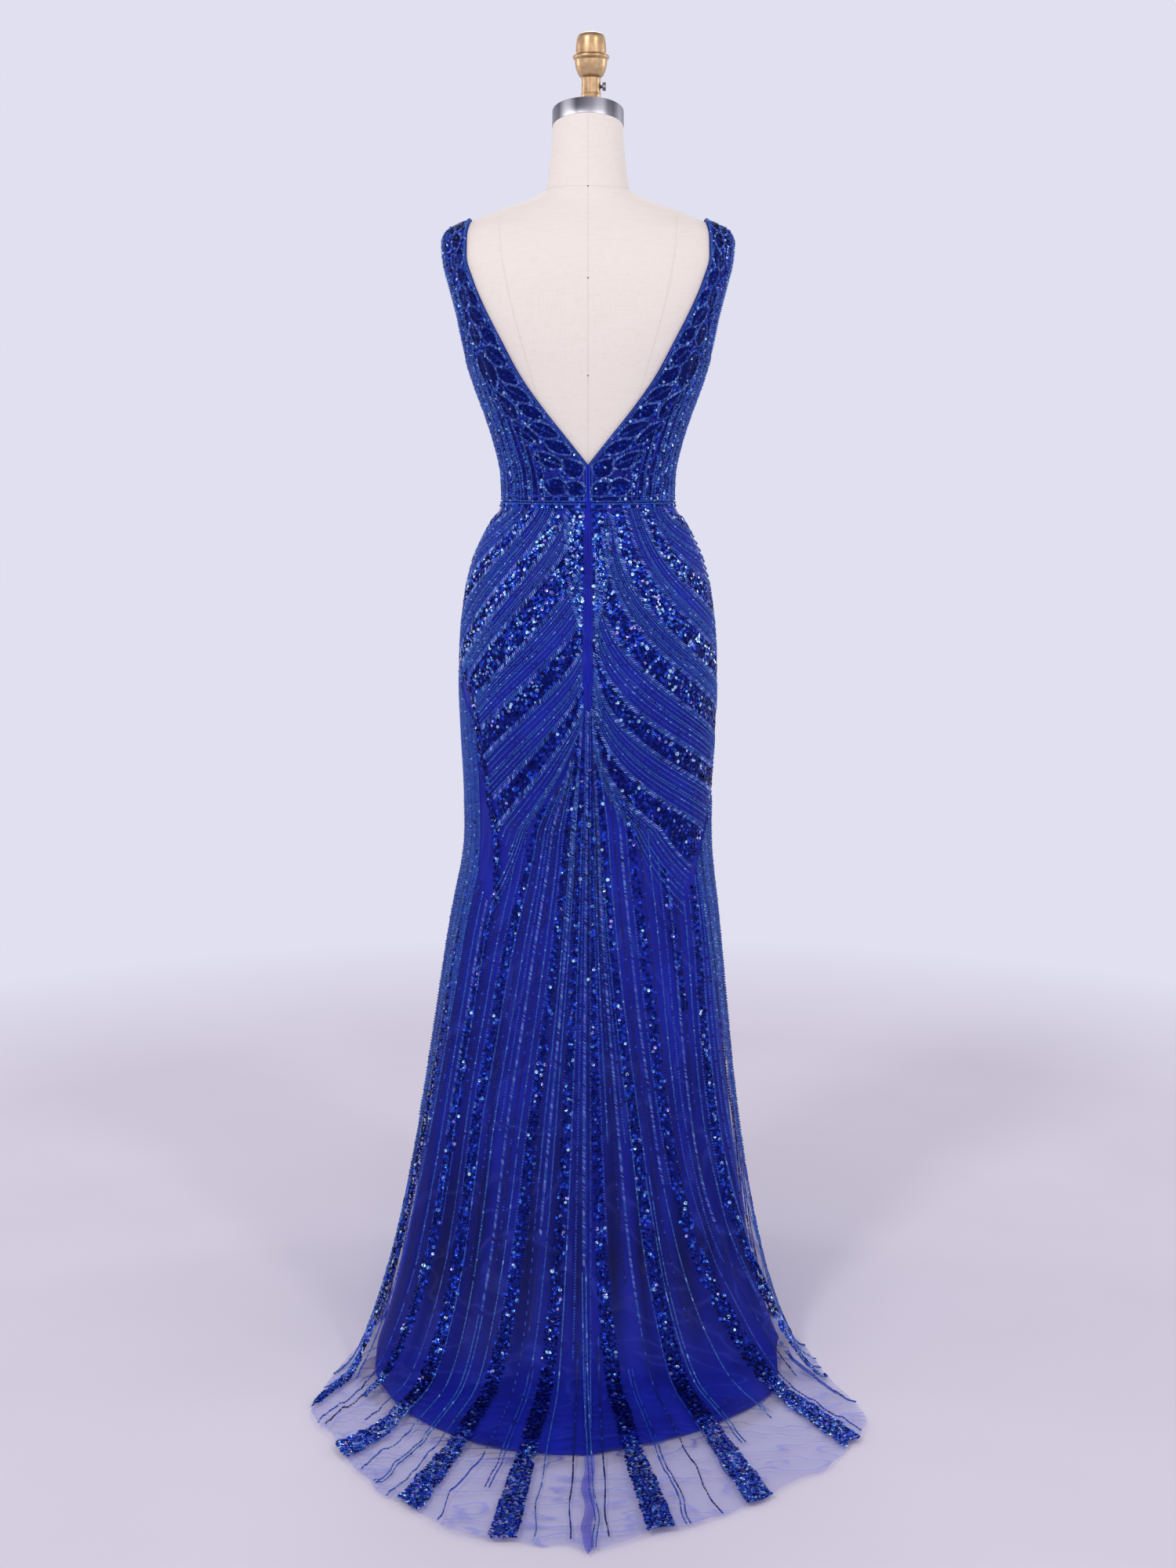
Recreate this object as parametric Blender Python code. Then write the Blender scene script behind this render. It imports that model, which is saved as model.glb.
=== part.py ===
"""An evening gown with a low V back and a train, worn by a dress form on its stand.

Metres, +Z up. The origin is on the floor under the pole. The gown's back and train point to -Y and its front
to +Y, so the wearer's left is -X. The gown is cut in panels: four for the bodice, three for the beaded tulle
skirt and three for the plain skirt lining under it, with a zip tape behind the centre back seam.
"""

import math
from typing import NamedTuple

import bmesh
import bpy
import numpy as np

# Driving sizes ------------------------------------------------------------------------------------

WAIST_Z = 1.115  # waist seam
KNEE_Z = 0.680  # where the skirt leaves the legs and starts to flare
FORM_BOTTOM_Z = 0.765
UNDERARM_Z = 1.305
SEAM_GAP = 0.0003  # between the pieces that a seam joins

BODICE_THICK = 0.0020  # beaded tulle mounted on its lining
LINING_THICK = 0.0010
TULLE_THICK = 0.0012
LINING_CLEAR = 0.0020  # from the form to the inside of the bodice and of the lining, at the waist
TULLE_CLEAR = LINING_CLEAR + LINING_THICK + 2 * SEAM_GAP
STRAP_CLEAR = 0.0008  # from the form to the inside of the strap where it rests on the shoulder

STRAP_INNER_X = 0.1540  # at the top of the shoulder
STRAP_OUTER_X = 0.1895
ARMHOLE_BITE = 0.012  # how far the armhole's edge comes in from the side, as a share of the half width
ARMHOLE_ROUND = 0.7  # under 1, the armhole's edge turns in sooner at its two ends

ZIP_TOP_Z = 1.165
ZIP_BOTTOM_Z = 0.880
ZIP_WIDTH = 0.024
ZIP_THICK = 0.0010
ZIP_COLUMNS = 5

NECK_BASE_Z = 1.5255
NECK_TOP_Z = 1.6060  # at the neck's middle
NECK_TOP_RADIUS = 0.0468
NECK_TILT = math.radians(15)  # the neck's top slopes down to the front
CAP_RADIUS = 0.0474
CAP_HEIGHT = 0.0225

POLE_RADIUS = 0.016
BASE_RADIUS = 0.190


class BodySection(NamedTuple):
    """The form's outline at one height: half width, depth behind and before the axis, and squareness."""

    z: float
    half_width: float
    back: float
    front: float
    square: float


BODY = (
    BodySection(0.600, 0.1650, 0.117, 0.112, 2.10),
    BodySection(0.680, 0.1645, 0.119, 0.116, 2.10),
    BodySection(0.740, 0.1660, 0.122, 0.120, 2.10),
    BodySection(0.800, 0.1690, 0.127, 0.122, 2.15),
    BodySection(0.870, 0.1710, 0.130, 0.122, 2.15),
    BodySection(0.930, 0.1690, 0.128, 0.120, 2.15),
    BodySection(0.980, 0.1640, 0.118, 0.116, 2.15),
    BodySection(1.030, 0.1530, 0.100, 0.108, 2.10),
    BodySection(1.075, 0.1330, 0.085, 0.100, 2.10),
    BodySection(1.115, 0.1120, 0.078, 0.095, 2.10),
    BodySection(1.150, 0.1130, 0.080, 0.096, 2.10),
    BodySection(1.190, 0.1210, 0.086, 0.101, 2.15),
    BodySection(1.235, 0.1345, 0.094, 0.108, 2.20),
    BodySection(1.280, 0.1505, 0.101, 0.116, 2.30),
    BodySection(1.320, 0.1630, 0.106, 0.115, 2.60),
    BodySection(1.360, 0.1725, 0.108, 0.107, 2.90),
    BodySection(1.400, 0.1835, 0.106, 0.096, 3.00),
    BodySection(1.432, 0.1910, 0.100, 0.085, 2.90),
    BodySection(1.452, 0.1922, 0.093, 0.077, 2.70),
    BodySection(1.465, 0.1880, 0.087, 0.072, 2.50),
    BodySection(1.476, 0.1740, 0.081, 0.068, 2.40),
    BodySection(1.484, 0.1540, 0.076, 0.064, 2.30),
    BodySection(1.497, 0.1220, 0.068, 0.058, 2.20),
    BodySection(1.506, 0.0960, 0.063, 0.055, 2.10),
    BodySection(1.515, 0.0720, 0.060, 0.053, 2.00),
    BodySection(1.5255, 0.0550, 0.056, 0.052, 2.00),
)

BUST_X = 0.082
BUST_Z = 1.272
BUST_SPREAD_X = 0.054
BUST_SPREAD_Z = 0.052
BUST_RISE = 0.023
BUST_CLEAR = 0.0018  # the front stands this much further off the form over the bust
BUST_CLEAR_SPREAD_Z = 0.068


class NeckPoint(NamedTuple):
    """A height on the neckline and its distance from the centre line."""

    z: float
    x: float


BACK_NECKLINE = (
    NeckPoint(1.165, 0.0000),
    NeckPoint(1.200, 0.0278),
    NeckPoint(1.238, 0.0580),
    NeckPoint(1.279, 0.0870),
    NeckPoint(1.325, 0.1120),
    NeckPoint(1.372, 0.1360),
    NeckPoint(1.403, 0.1490),
    NeckPoint(1.435, 0.1580),
    NeckPoint(1.460, 0.1580),
    NeckPoint(1.484, 0.1540),
)
FRONT_NECKLINE = (
    NeckPoint(1.245, 0.0000),
    NeckPoint(1.283, 0.0280),
    NeckPoint(1.323, 0.0590),
    NeckPoint(1.363, 0.0910),
    NeckPoint(1.403, 0.1210),
    NeckPoint(1.433, 0.1410),
    NeckPoint(1.460, 0.1520),
    NeckPoint(1.484, 0.1540),
)
SHOULDER_Z = 1.484
SHOULDER_LOW_Z = 1.455  # the ridge of the shoulder runs from here up to the neck
SHOULDER_STEPS = 1500
BODICE_ROWS_Z = (
    WAIST_Z + SEAM_GAP / 2, 1.138, 1.165, 1.190, 1.214, 1.240, 1.268, 1.296, 1.326, 1.356,
    1.384, 1.410, 1.432, 1.450, 1.4625, 1.4715, 1.4778, 1.4816, 1.4834, SHOULDER_Z,
)  # heights along the neckline's edge, closer together over the shoulder
BODICE_COLUMNS = 8


class HemStation(NamedTuple):
    """One rib of half the skirt, by its angle round the knee from the centre back, and its end on the floor.

    touch is the share of the rib's run at which the tulle reaches the floor, and lining_end the share at
    which the lining under it ends. sweep is 1 for a straight rib and more for one that curves out low down.
    """

    angle: float
    x: float
    y: float
    touch: float
    lining_end: float
    sweep: float


HEM_LEFT = (
    HemStation(0, 0.000, -0.778, 0.46, 0.700, 2.20),
    HemStation(15, 0.118, -0.752, 0.48, 0.710, 2.15),
    HemStation(30, 0.225, -0.662, 0.54, 0.730, 2.05),
    HemStation(45, 0.303, -0.530, 0.67, 0.765, 1.85),
    HemStation(58, 0.343, -0.412, 0.82, 0.750, 1.60),
    HemStation(72, 0.312, -0.235, 0.97, 0.860, 1.40),
    HemStation(90, 0.277, -0.065, 1.00, 0.950, 1.10),
    HemStation(110, 0.260, 0.085, 1.00, 0.950, 1.05),
    HemStation(132, 0.200, 0.190, 1.00, 0.950, 1.05),
    HemStation(155, 0.108, 0.246, 1.00, 0.950, 1.05),
    HemStation(180, 0.000, 0.262, 1.00, 0.950, 1.05),
)
HEM_RIGHT = (
    HemStation(0, 0.000, -0.778, 0.46, 0.700, 2.20),
    HemStation(15, 0.122, -0.722, 0.48, 0.700, 2.20),
    HemStation(30, 0.230, -0.636, 0.54, 0.700, 2.20),
    HemStation(45, 0.312, -0.540, 0.67, 0.680, 2.25),
    HemStation(58, 0.341, -0.462, 0.82, 0.600, 2.40),
    HemStation(72, 0.298, -0.265, 0.97, 0.800, 2.20),
    HemStation(90, 0.250, -0.065, 1.00, 0.930, 1.50),
    HemStation(110, 0.236, 0.085, 1.00, 0.950, 1.30),
    HemStation(132, 0.186, 0.190, 1.00, 0.950, 1.15),
    HemStation(155, 0.104, 0.246, 1.00, 0.950, 1.05),
    HemStation(180, 0.000, 0.262, 1.00, 0.950, 1.05),
)
TULLE_FLOAT = 0.0030  # height of the tulle's underside where it lies over the lining on the floor
TRAIN_FADE = 0.13  # the folds of a rib that runs on into the train die away over this height
FLARE_EASE = 0.075  # height over which the rib turns from the straight skirt into the flare
LINING_SLACK = 0.030  # how far inside the tulle's unfolded shape the lining hangs at the floor
LINING_SLACK_GROWTH = 1.3
LINING_SAG = 0.012  # and how much lower it lies there, down to the floor
LINING_SAG_GROWTH = 2
TRAIN_SHARE = 0.15  # a rib is wholly train when it lies on the floor for at least this share of its run
HANGS_TO_HEM = 0.999  # a rib whose touch is above this has no stretch on the floor


class Fold(NamedTuple):
    """A valley in the skirt: its angle from the centre back (left is negative), half width, depth and top."""

    angle: float
    half_width: float
    depth: float
    top_z: float


FOLDS = (
    Fold(-72, 8.0, 0.014, 0.50),
    Fold(-47, 7.5, 0.022, 0.56),
    Fold(-19, 7.0, 0.015, 0.48),
    Fold(8, 7.5, 0.022, 0.58),
    Fold(31, 6.5, 0.014, 0.50),
    Fold(56, 8.0, 0.020, 0.56),
    Fold(80, 7.5, 0.012, 0.44),
    Fold(104, 8.0, 0.016, 0.48),
    Fold(128, 7.5, 0.020, 0.54),
    Fold(152, 8.0, 0.014, 0.46),
    Fold(178, 8.0, 0.021, 0.55),
    Fold(-156, 7.5, 0.015, 0.48),
    Fold(-131, 8.0, 0.020, 0.54),
    Fold(-102, 8.5, 0.016, 0.48),
)

FOLD_GROWTH = 1.3  # above 1, a fold deepens faster towards the floor

SHEATH_ROWS_Z = (
    WAIST_Z - SEAM_GAP / 2, 1.093, 1.068, 1.038, 1.003, 0.965, 0.925, ZIP_BOTTOM_Z, 0.815, 0.745, KNEE_Z,
)  # heights of the rows on the straight part of the skirt
LINED_ROWS = (0.08, 0.17, 0.28, 0.40, 0.52, 0.64, 0.75, 0.84, 0.92, 1.0)  # shares of the rib over the lining
SHEER_ROWS = (0.18, 0.55, 1.0)  # shares of the rib beyond the lining's hem
TULLE_BACK_COLUMNS = 21
TULLE_FRONT_COLUMNS = 31
LINING_BACK_COLUMNS = 12
LINING_FRONT_COLUMNS = 19
PROFILE_STEPS = 160
PANEL_NUDGE = 0.2  # degrees to either side, for the direction in which a panel faces

# The body's surface -------------------------------------------------------------------------------


def smooth_through(xs, ys, at):
    """A monotone cubic curve through the points (xs, ys), read at the values in at."""
    xs, ys = np.asarray(xs, float), np.asarray(ys, float)
    at = np.clip(np.asarray(at, float), xs[0], xs[-1])
    step = np.diff(xs)
    slope = np.diff(ys) / step
    tangent = np.zeros(len(xs))
    same_way = slope[:-1] * slope[1:] > 0
    both = np.where(same_way, slope[:-1] + slope[1:], 1.0)
    tangent[1:-1] = np.where(same_way, 2 * slope[:-1] * slope[1:] / both, 0.0)
    tangent[0], tangent[-1] = slope[0], slope[-1]
    i = np.clip(np.searchsorted(xs, at, side="right") - 1, 0, len(step) - 1)
    t = (at - xs[i]) / step[i]
    rise = (1 - t) ** 2 * (1 + 2 * t) * ys[i] + t**2 * (3 - 2 * t) * ys[i + 1]
    bend = t * (1 - t) ** 2 * tangent[i] - t**2 * (1 - t) * tangent[i + 1]
    return rise + bend * step[i]


def column(table, name):
    """One named column of a table of rows."""
    return np.array([getattr(row, name) for row in table])


def body_size(name, z):
    return smooth_through(column(BODY, "z"), column(BODY, name), z)


def signed_power(value, power):
    return np.sign(value) * np.abs(value) ** power


def body_point(angle, z):
    """A point on the form. The angle is 0 at the right side and minus a quarter turn at the centre back."""
    angle, z = np.broadcast_arrays(np.asarray(angle, float), np.asarray(z, float))
    round_off = 2 / body_size("square", z)
    across = signed_power(np.cos(angle), round_off)
    along = signed_power(np.sin(angle), round_off)
    x = body_size("half_width", z) * across
    depth = np.where(along < 0, body_size("back", z), body_size("front", z))
    lobe = np.exp(-(((np.abs(x) - BUST_X) / BUST_SPREAD_X) ** 2) - ((z - BUST_Z) / BUST_SPREAD_Z) ** 2)
    y = depth * along + BUST_RISE * lobe * np.clip(along, 0, 1) ** 2
    return np.stack([x, y, z], axis=-1)


def eased(share):
    """A share from 0 to 1 that starts and ends gently."""
    return share**2 * (3 - 2 * share)


def unit(vectors):
    return vectors / np.linalg.norm(vectors, axis=-1, keepdims=True)


def body_normal(angle, z):
    """The outward direction of the form's surface."""
    nudge = 1e-4
    round_it = body_point(angle + nudge, z) - body_point(angle - nudge, z)
    up_it = body_point(angle, z + nudge) - body_point(angle, z - nudge)
    return unit(np.cross(round_it, up_it))


def shoulder_height(x):
    """The height of the shoulder's ridge at a distance x from the centre line."""
    heights = np.linspace(SHOULDER_LOW_Z, NECK_BASE_Z, SHOULDER_STEPS)
    widths = body_size("half_width", heights)
    return np.interp(x, widths[::-1], heights[::-1])


# Walls and other solids ---------------------------------------------------------------------------


def material(name, colour, roughness, metallic=0.0):
    made = bpy.data.materials.new(name)
    made.use_nodes = True
    shader = made.node_tree.nodes["Principled BSDF"]
    shader.inputs["Base Color"].default_value = (*colour, 1.0)
    shader.inputs["Roughness"].default_value = roughness
    shader.inputs["Metallic"].default_value = metallic
    return made


def add_object(name, bm, finish):
    """A named object from a finished bmesh, shaded smooth, with its faces pointing out."""
    bmesh.ops.recalc_face_normals(bm, faces=bm.faces)
    mesh = bpy.data.meshes.new(name)
    bm.to_mesh(mesh)
    bm.free()
    mesh.materials.append(finish)
    mesh.shade_smooth()
    mesh.set_sharp_from_angle(angle=math.radians(40))
    made = bpy.data.objects.new(name, mesh)
    bpy.context.scene.collection.objects.link(made)
    return made


def add_wall(name, inside, outside, finish):
    """A sheet with thickness between two grids of points of the same shape, closed round its four edges."""
    rows, columns = inside.shape[:2]
    bm = bmesh.new()
    inner = [[bm.verts.new(point) for point in row] for row in inside]
    outer = [[bm.verts.new(point) for point in row] for row in outside]
    for r in range(rows - 1):
        for c in range(columns - 1):
            for side in (inner, outer):
                a, b, d, e = side[r][c], side[r][c + 1], side[r + 1][c], side[r + 1][c + 1]
                bm.faces.new((a, b, e))
                bm.faces.new((a, e, d))
    rim = [(0, c) for c in range(columns)]
    rim += [(r, columns - 1) for r in range(1, rows)]
    rim += [(rows - 1, c) for c in range(columns - 2, -1, -1)]
    rim += [(r, 0) for r in range(rows - 2, 0, -1)]
    for (r, c), (next_r, next_c) in zip(rim, rim[1:] + rim[:1]):
        bm.faces.new((inner[r][c], outer[r][c], outer[next_r][next_c], inner[next_r][next_c]))
    return add_object(name, bm, finish)


def add_loft(name, rings, finish):
    """A solid through closed rings of points, all with the same number of points, capped at both ends."""
    bm = bmesh.new()
    loops = [[bm.verts.new(point) for point in ring] for ring in rings]
    for below, above in zip(loops, loops[1:]):
        for i, vert in enumerate(below):
            bm.faces.new((below[i - 1], vert, above[i], above[i - 1]))
    bm.faces.new(loops[0][::-1])
    bm.faces.new(loops[-1])
    return add_object(name, bm, finish)


def turned(outline, sides):
    """A bmesh spun round the Z axis from an outline of (radius, z) points, closed at both ends."""
    bm = bmesh.new()
    points = [(0.0, outline[0][1]), *outline, (0.0, outline[-1][1])]
    verts = [bm.verts.new((radius, 0.0, z)) for radius, z in points]
    edges = [bm.edges.new(pair) for pair in zip(verts, verts[1:])]
    bmesh.ops.spin(
        bm, geom=verts + edges, axis=(0, 0, 1), cent=(0, 0, 0), angle=2 * math.pi, steps=sides, use_merge=True
    )
    bmesh.ops.remove_doubles(bm, verts=bm.verts, dist=1e-6)
    return bm


def cylinder(radius, low, high, sides):
    """A bmesh of a cylinder on the Z axis between two heights."""
    return turned([(radius, low), (radius, high)], sides)


# The bodice ---------------------------------------------------------------------------------------


def neckline_x(neckline, z):
    edge = smooth_through(column(neckline, "z"), column(neckline, "x"), z)
    return np.where(z < neckline[0].z, 0.0, edge)


def armhole_x(z):
    """Distance from the centre line to the outer edge of the bodice: the side seam, then the armhole."""
    top = shoulder_height(STRAP_OUTER_X)
    share = np.clip((z - UNDERARM_Z) / (top - UNDERARM_Z), 0, 1)
    return body_size("half_width", z) * (1 - ARMHOLE_BITE * np.sin(math.pi * share) ** ARMHOLE_ROUND)


def angle_from_side(x, z):
    """The angle, from the side seam, of the point on the body at a distance x from the centre line."""
    share = np.clip(x / body_size("half_width", z), 0, 1)
    return np.arccos(share ** (body_size("square", z) / 2))


def bodice_panel(name, side, face, neckline, finish):
    """One quarter of the bodice. side is -1 for left and 1 for right; face is -1 for back and 1 for front."""
    across = np.linspace(0, 1, BODICE_COLUMNS)
    strap_x = STRAP_INNER_X + (STRAP_OUTER_X - STRAP_INNER_X) * across
    slope = shoulder_height(strap_x) - shoulder_height(STRAP_INNER_X)
    angles, heights = [], []
    for edge_z in BODICE_ROWS_Z:
        rise = np.clip((edge_z - UNDERARM_Z) / (SHOULDER_Z - UNDERARM_Z), 0, 1)
        z = edge_z + slope * eased(rise)
        inner_x = neckline_x(neckline, z[0])
        outer_x = armhole_x(z[-1])
        straight = angle_from_side(inner_x + (outer_x - inner_x) * across, z)
        wrapped_from = angle_from_side(inner_x, z[0])
        wrapped_to = angle_from_side(outer_x, z[-1])
        wrapped = wrapped_from + (wrapped_to - wrapped_from) * across
        angles.append(wrapped + (straight - wrapped) * math.sqrt(rise))
        heights.append(z)
    angle, z = np.array(angles), np.array(heights)
    angle[-1] = 0.0
    if side > 0:
        turn = angle * face
    else:
        turn = math.pi - angle * face
    surface, normal = body_point(turn, z), body_normal(turn, z)
    near_shoulder = np.clip((z - UNDERARM_Z) / (SHOULDER_Z - UNDERARM_Z), 0, 1)[..., None]
    clear = LINING_CLEAR + (STRAP_CLEAR - LINING_CLEAR) * near_shoulder
    if face > 0:
        clear += BUST_CLEAR * np.exp(-(((z[..., None] - BUST_Z) / BUST_CLEAR_SPREAD_Z) ** 2))
    inside = surface + normal * clear
    outside = inside + normal * BODICE_THICK
    for layer in (inside, outside):
        layer[-1, :, 1] = face * SEAM_GAP / 2
        part_from_centre_seam(layer, side, z[:, 0] <= neckline[0].z)
        layer[z[:, -1] <= UNDERARM_Z, -1, 1] = face * SEAM_GAP / 2
    return add_wall(name, inside, outside, finish)


def part_from_centre_seam(layer, side, rows):
    """Moves the first column of a panel to its side of the seam at the centre line."""
    layer[rows, 0, 0] = side * SEAM_GAP / 2


# The skirt and its lining -------------------------------------------------------------------------


def hem_size(name, angle):
    """One size of the rib at an angle from the centre back, between -180 and 180 degrees."""
    stations = HEM_LEFT if angle < 0 else HEM_RIGHT
    return smooth_through(column(stations, "angle"), column(stations, name), abs(angle))


def fold_depth(angle, z):
    """How far the folds push the skirt in, at an angle from the centre back in degrees and a height."""
    pushed = np.zeros(np.broadcast(angle, z).shape)
    for fold in FOLDS:
        away = (angle - fold.angle + 180) % 360 - 180
        grown = np.clip((fold.top_z - z) / fold.top_z, 0, 1)
        pushed += fold.depth * np.exp(-((away / fold.half_width) ** 2)) * grown**FOLD_GROWTH
    return pushed


def sheath_point(angle, z, clear):
    """A point on the straight part of the skirt, at an angle in degrees from the centre back."""
    turn = np.radians(angle) - math.pi / 2
    return body_point(turn, z) + body_normal(turn, z) * clear


def rib_profile(angle):
    """One rib of the unfolded tulle from knee to hem, as points close together.

    Gives the rib's start and heading, each point's way out, height and length from the start, and the length
    down to the point over the lining's hem.
    """
    knee = sheath_point(angle, KNEE_Z, TULLE_CLEAR)
    hem = np.array([math.copysign(hem_size("x", angle), angle), hem_size("y", angle)])
    run = np.linalg.norm(hem - knee[:2])
    touch = run * hem_size("touch", angle)
    lining_end = run * hem_size("lining_end", angle)
    drop = np.linspace(0, 1, PROFILE_STEPS)
    turned_out = 1 - np.exp(-((drop * KNEE_Z / FLARE_EASE) ** 2))
    out = touch * (1 - (1 - drop) ** (1 / hem_size("sweep", angle))) * turned_out
    z = KNEE_Z * (1 - drop)
    if touch < HANGS_TO_HEM * run:
        out = np.append(out, np.linspace(touch, run, PROFILE_STEPS)[1:])
        z = np.append(z, np.zeros(PROFILE_STEPS - 1))
    length = np.concatenate([[0], np.cumsum(np.hypot(np.diff(out), np.diff(z)))])
    return knee, (hem - knee[:2]) / run, out, z, length, np.interp(lining_end, out, length)


def flare_rib(angle, is_tulle):
    """Points down one rib of the flare, from below the knee to the hem."""
    angle = (angle + 180) % 360 - 180
    knee, heading, out, z, length, lined = rib_profile(angle)
    stops = lined * np.array(LINED_ROWS)
    if is_tulle:
        stops = np.append(stops, lined + (length[-1] - lined) * np.array(SHEER_ROWS))
    out, z = np.interp(stops, length, out), np.interp(stops, length, z)
    lower = 1 - z / KNEE_Z
    if is_tulle:
        lift = TULLE_FLOAT * np.clip(1 - z / TRAIN_FADE, 0, 1) * (stops <= lined)
        train = np.clip((1 - hem_size("touch", angle)) / TRAIN_SHARE, 0, 1)
        settled = 1 - train * (1 - np.clip(z / TRAIN_FADE, 0, 1))
        out, z = out - fold_depth(angle, z) * settled, z + lift
    else:
        out = out - LINING_SLACK * lower**LINING_SLACK_GROWTH - (TULLE_CLEAR - LINING_CLEAR)
        z = np.maximum(z - LINING_SAG * lower**LINING_SAG_GROWTH, 0.0)
    return np.stack([knee[0] + heading[0] * out, knee[1] + heading[1] * out, z], axis=-1)


def skirt_grid(angles, is_tulle):
    """The inside of one skirt panel, as rows from the waist down and columns round it."""
    clear = TULLE_CLEAR if is_tulle else LINING_CLEAR
    heights = np.array(SHEATH_ROWS_Z)[:, None]
    sheath = sheath_point(angles[None, :], heights, clear)
    flare = np.stack([flare_rib(angle, is_tulle) for angle in angles], axis=1)
    return np.concatenate([sheath, flare])


def grid_normals(grid, before, after):
    """Outward directions of a grid, from its rows and from copies of it a little to either side."""
    down = np.gradient(grid, axis=0)
    return unit(np.cross(down, after - before))


def skirt_panel(name, first_angle, last_angle, columns, is_tulle, finish):
    """A panel of the tulle skirt or of its lining, between two seams at these angles from the centre back."""
    angles = np.linspace(first_angle, last_angle, columns)
    inside = skirt_grid(angles, is_tulle)
    before = skirt_grid(angles - PANEL_NUDGE, is_tulle)
    after = skirt_grid(angles + PANEL_NUDGE, is_tulle)
    normal = grid_normals(inside, before, after)
    thick = TULLE_THICK if is_tulle else LINING_THICK
    outside = inside + normal * thick
    along_seam = unit(after - before)
    for layer in (inside, outside):
        layer[:, 0] += along_seam[:, 0] * SEAM_GAP / 2
        layer[:, -1] -= along_seam[:, -1] * SEAM_GAP / 2
        layer[..., 2] = np.maximum(layer[..., 2], 0.0)
    outside[0, :, 2] = WAIST_Z - SEAM_GAP / 2
    return add_wall(name, inside, outside, finish)


def zip_tape(finish):
    """The tape of the concealed zip, on the inside of the centre back seam."""
    heights = [z for z in SHEATH_ROWS_Z + BODICE_ROWS_Z if ZIP_BOTTOM_Z < z < ZIP_TOP_Z]
    heights = np.array([ZIP_BOTTOM_Z, *sorted(heights), ZIP_TOP_Z])[:, None]
    across = np.linspace(-ZIP_WIDTH / 2, ZIP_WIDTH / 2, ZIP_COLUMNS)[None, :]
    from_side = angle_from_side(np.abs(across), heights)
    turn = np.where(across >= 0, -from_side, math.pi + from_side)
    surface, normal = body_point(turn, heights), body_normal(turn, heights)
    lift = SEAM_GAP
    return add_wall("zip_tape", surface + normal * lift, surface + normal * (lift + ZIP_THICK), finish)


# The dress form and its stand ---------------------------------------------------------------------

FORM_SIDES = 36
FORM_ROWS_Z = (
    *[z for z in SHEATH_ROWS_Z[-3::-1] if z < WAIST_Z - SEAM_GAP],
    WAIST_Z, *BODICE_ROWS_Z[1:8], 1.311, BODICE_ROWS_Z[8], 1.350, 1.375,
    1.403, 1.428, 1.448, 1.4595, 1.4685, 1.4765, SHOULDER_Z, 1.490, 1.497, 1.506, 1.515, NECK_BASE_Z,
)
FORM_EDGE_ROUND = 0.008  # height of the turned-in edge at the form's underside
FORM_EDGE_SHARE = 0.95  # the underside's size as a share of the form's at that height
NECK_ROWS = (0.30, 0.62, 1.0)  # shares of the neck's height
NECK_FLARE = 1.6  # above 1, the neck spreads towards its base
CAP_SIDES = 30
CAP_EDGE = 0.0012


def neck_top_z(y, lift=0.0):
    """Height of the neck's sloping top, or of a plane that lies lift above it."""
    return NECK_TOP_Z + lift / math.cos(NECK_TILT) - y * math.tan(NECK_TILT)


def form_torso(finish):
    turn = np.linspace(0, 2 * math.pi, FORM_SIDES, endpoint=False)
    rings = [body_point(turn, FORM_BOTTOM_Z) * np.array([FORM_EDGE_SHARE, FORM_EDGE_SHARE, 1.0])]
    rings += [body_point(turn, z) for z in (FORM_BOTTOM_Z + FORM_EDGE_ROUND, *FORM_ROWS_Z)]
    base = rings[-1]
    top = np.stack([NECK_TOP_RADIUS * np.cos(turn), NECK_TOP_RADIUS * np.sin(turn)], axis=-1)
    top = np.column_stack([top, neck_top_z(top[:, 1])])
    for share in NECK_ROWS:
        spread = 1 - (1 - share) ** NECK_FLARE
        ring = base + (top - base) * spread
        ring[:, 2] = base[:, 2] + (top[:, 2] - base[:, 2]) * share
        rings.append(ring)
    return add_loft("form_torso", rings, finish)


def neck_cap(finish):
    """The metal cap that closes the neck, tilted with the neck's sloping top."""
    made = add_object("form_neck_cap", cylinder(CAP_RADIUS, 0.0, CAP_HEIGHT, CAP_SIDES), finish)
    up = np.array([0.0, math.sin(NECK_TILT), math.cos(NECK_TILT)])
    made.location = np.array([0.0, 0.0, NECK_TOP_Z]) + up * SEAM_GAP
    made.rotation_euler.x = -NECK_TILT
    bevel = made.modifiers.new("rounded_edge", "BEVEL")
    bevel.width = CAP_EDGE
    bevel.segments = 1
    return made


class TurnedPoint(NamedTuple):
    """A point on a turned outline: its radius and height."""

    radius: float
    z: float


FINIAL_X = 0.004  # the finial stands a little off the neck's middle
FINIAL = (
    TurnedPoint(0.0125, 1.6690),
    TurnedPoint(0.0155, 1.6712),
    TurnedPoint(0.0188, 1.6775),
    TurnedPoint(0.0208, 1.6845),
    TurnedPoint(0.0214, 1.6920),
    TurnedPoint(0.0236, 1.6938),
    TurnedPoint(0.0242, 1.6955),
    TurnedPoint(0.0232, 1.6977),
    TurnedPoint(0.0200, 1.6996),
    TurnedPoint(0.0198, 1.7070),
    TurnedPoint(0.0191, 1.7155),
    TurnedPoint(0.0178, 1.7212),
    TurnedPoint(0.0143, 1.7252),
    TurnedPoint(0.0075, 1.7270),
)
FINIAL_SIDES = 20
STEM_RADIUS = 0.0125
SCREW_Z = 1.6580
SCREW_HOLE_RADIUS = 0.0029
SPARE_HOLE_RADIUS = 0.0018
SCREW_HOLE_DEPTH = 0.0060
SCREW_RADIUS = 0.0025
SCREW_HEAD_RADIUS = 0.0056
SCREW_HEAD_THICK = 0.0048
SCREW_HEAD_EDGE = 0.0008
SCREW_HEAD_GAP = 0.0026
SCREW_SIDES = 16


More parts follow.
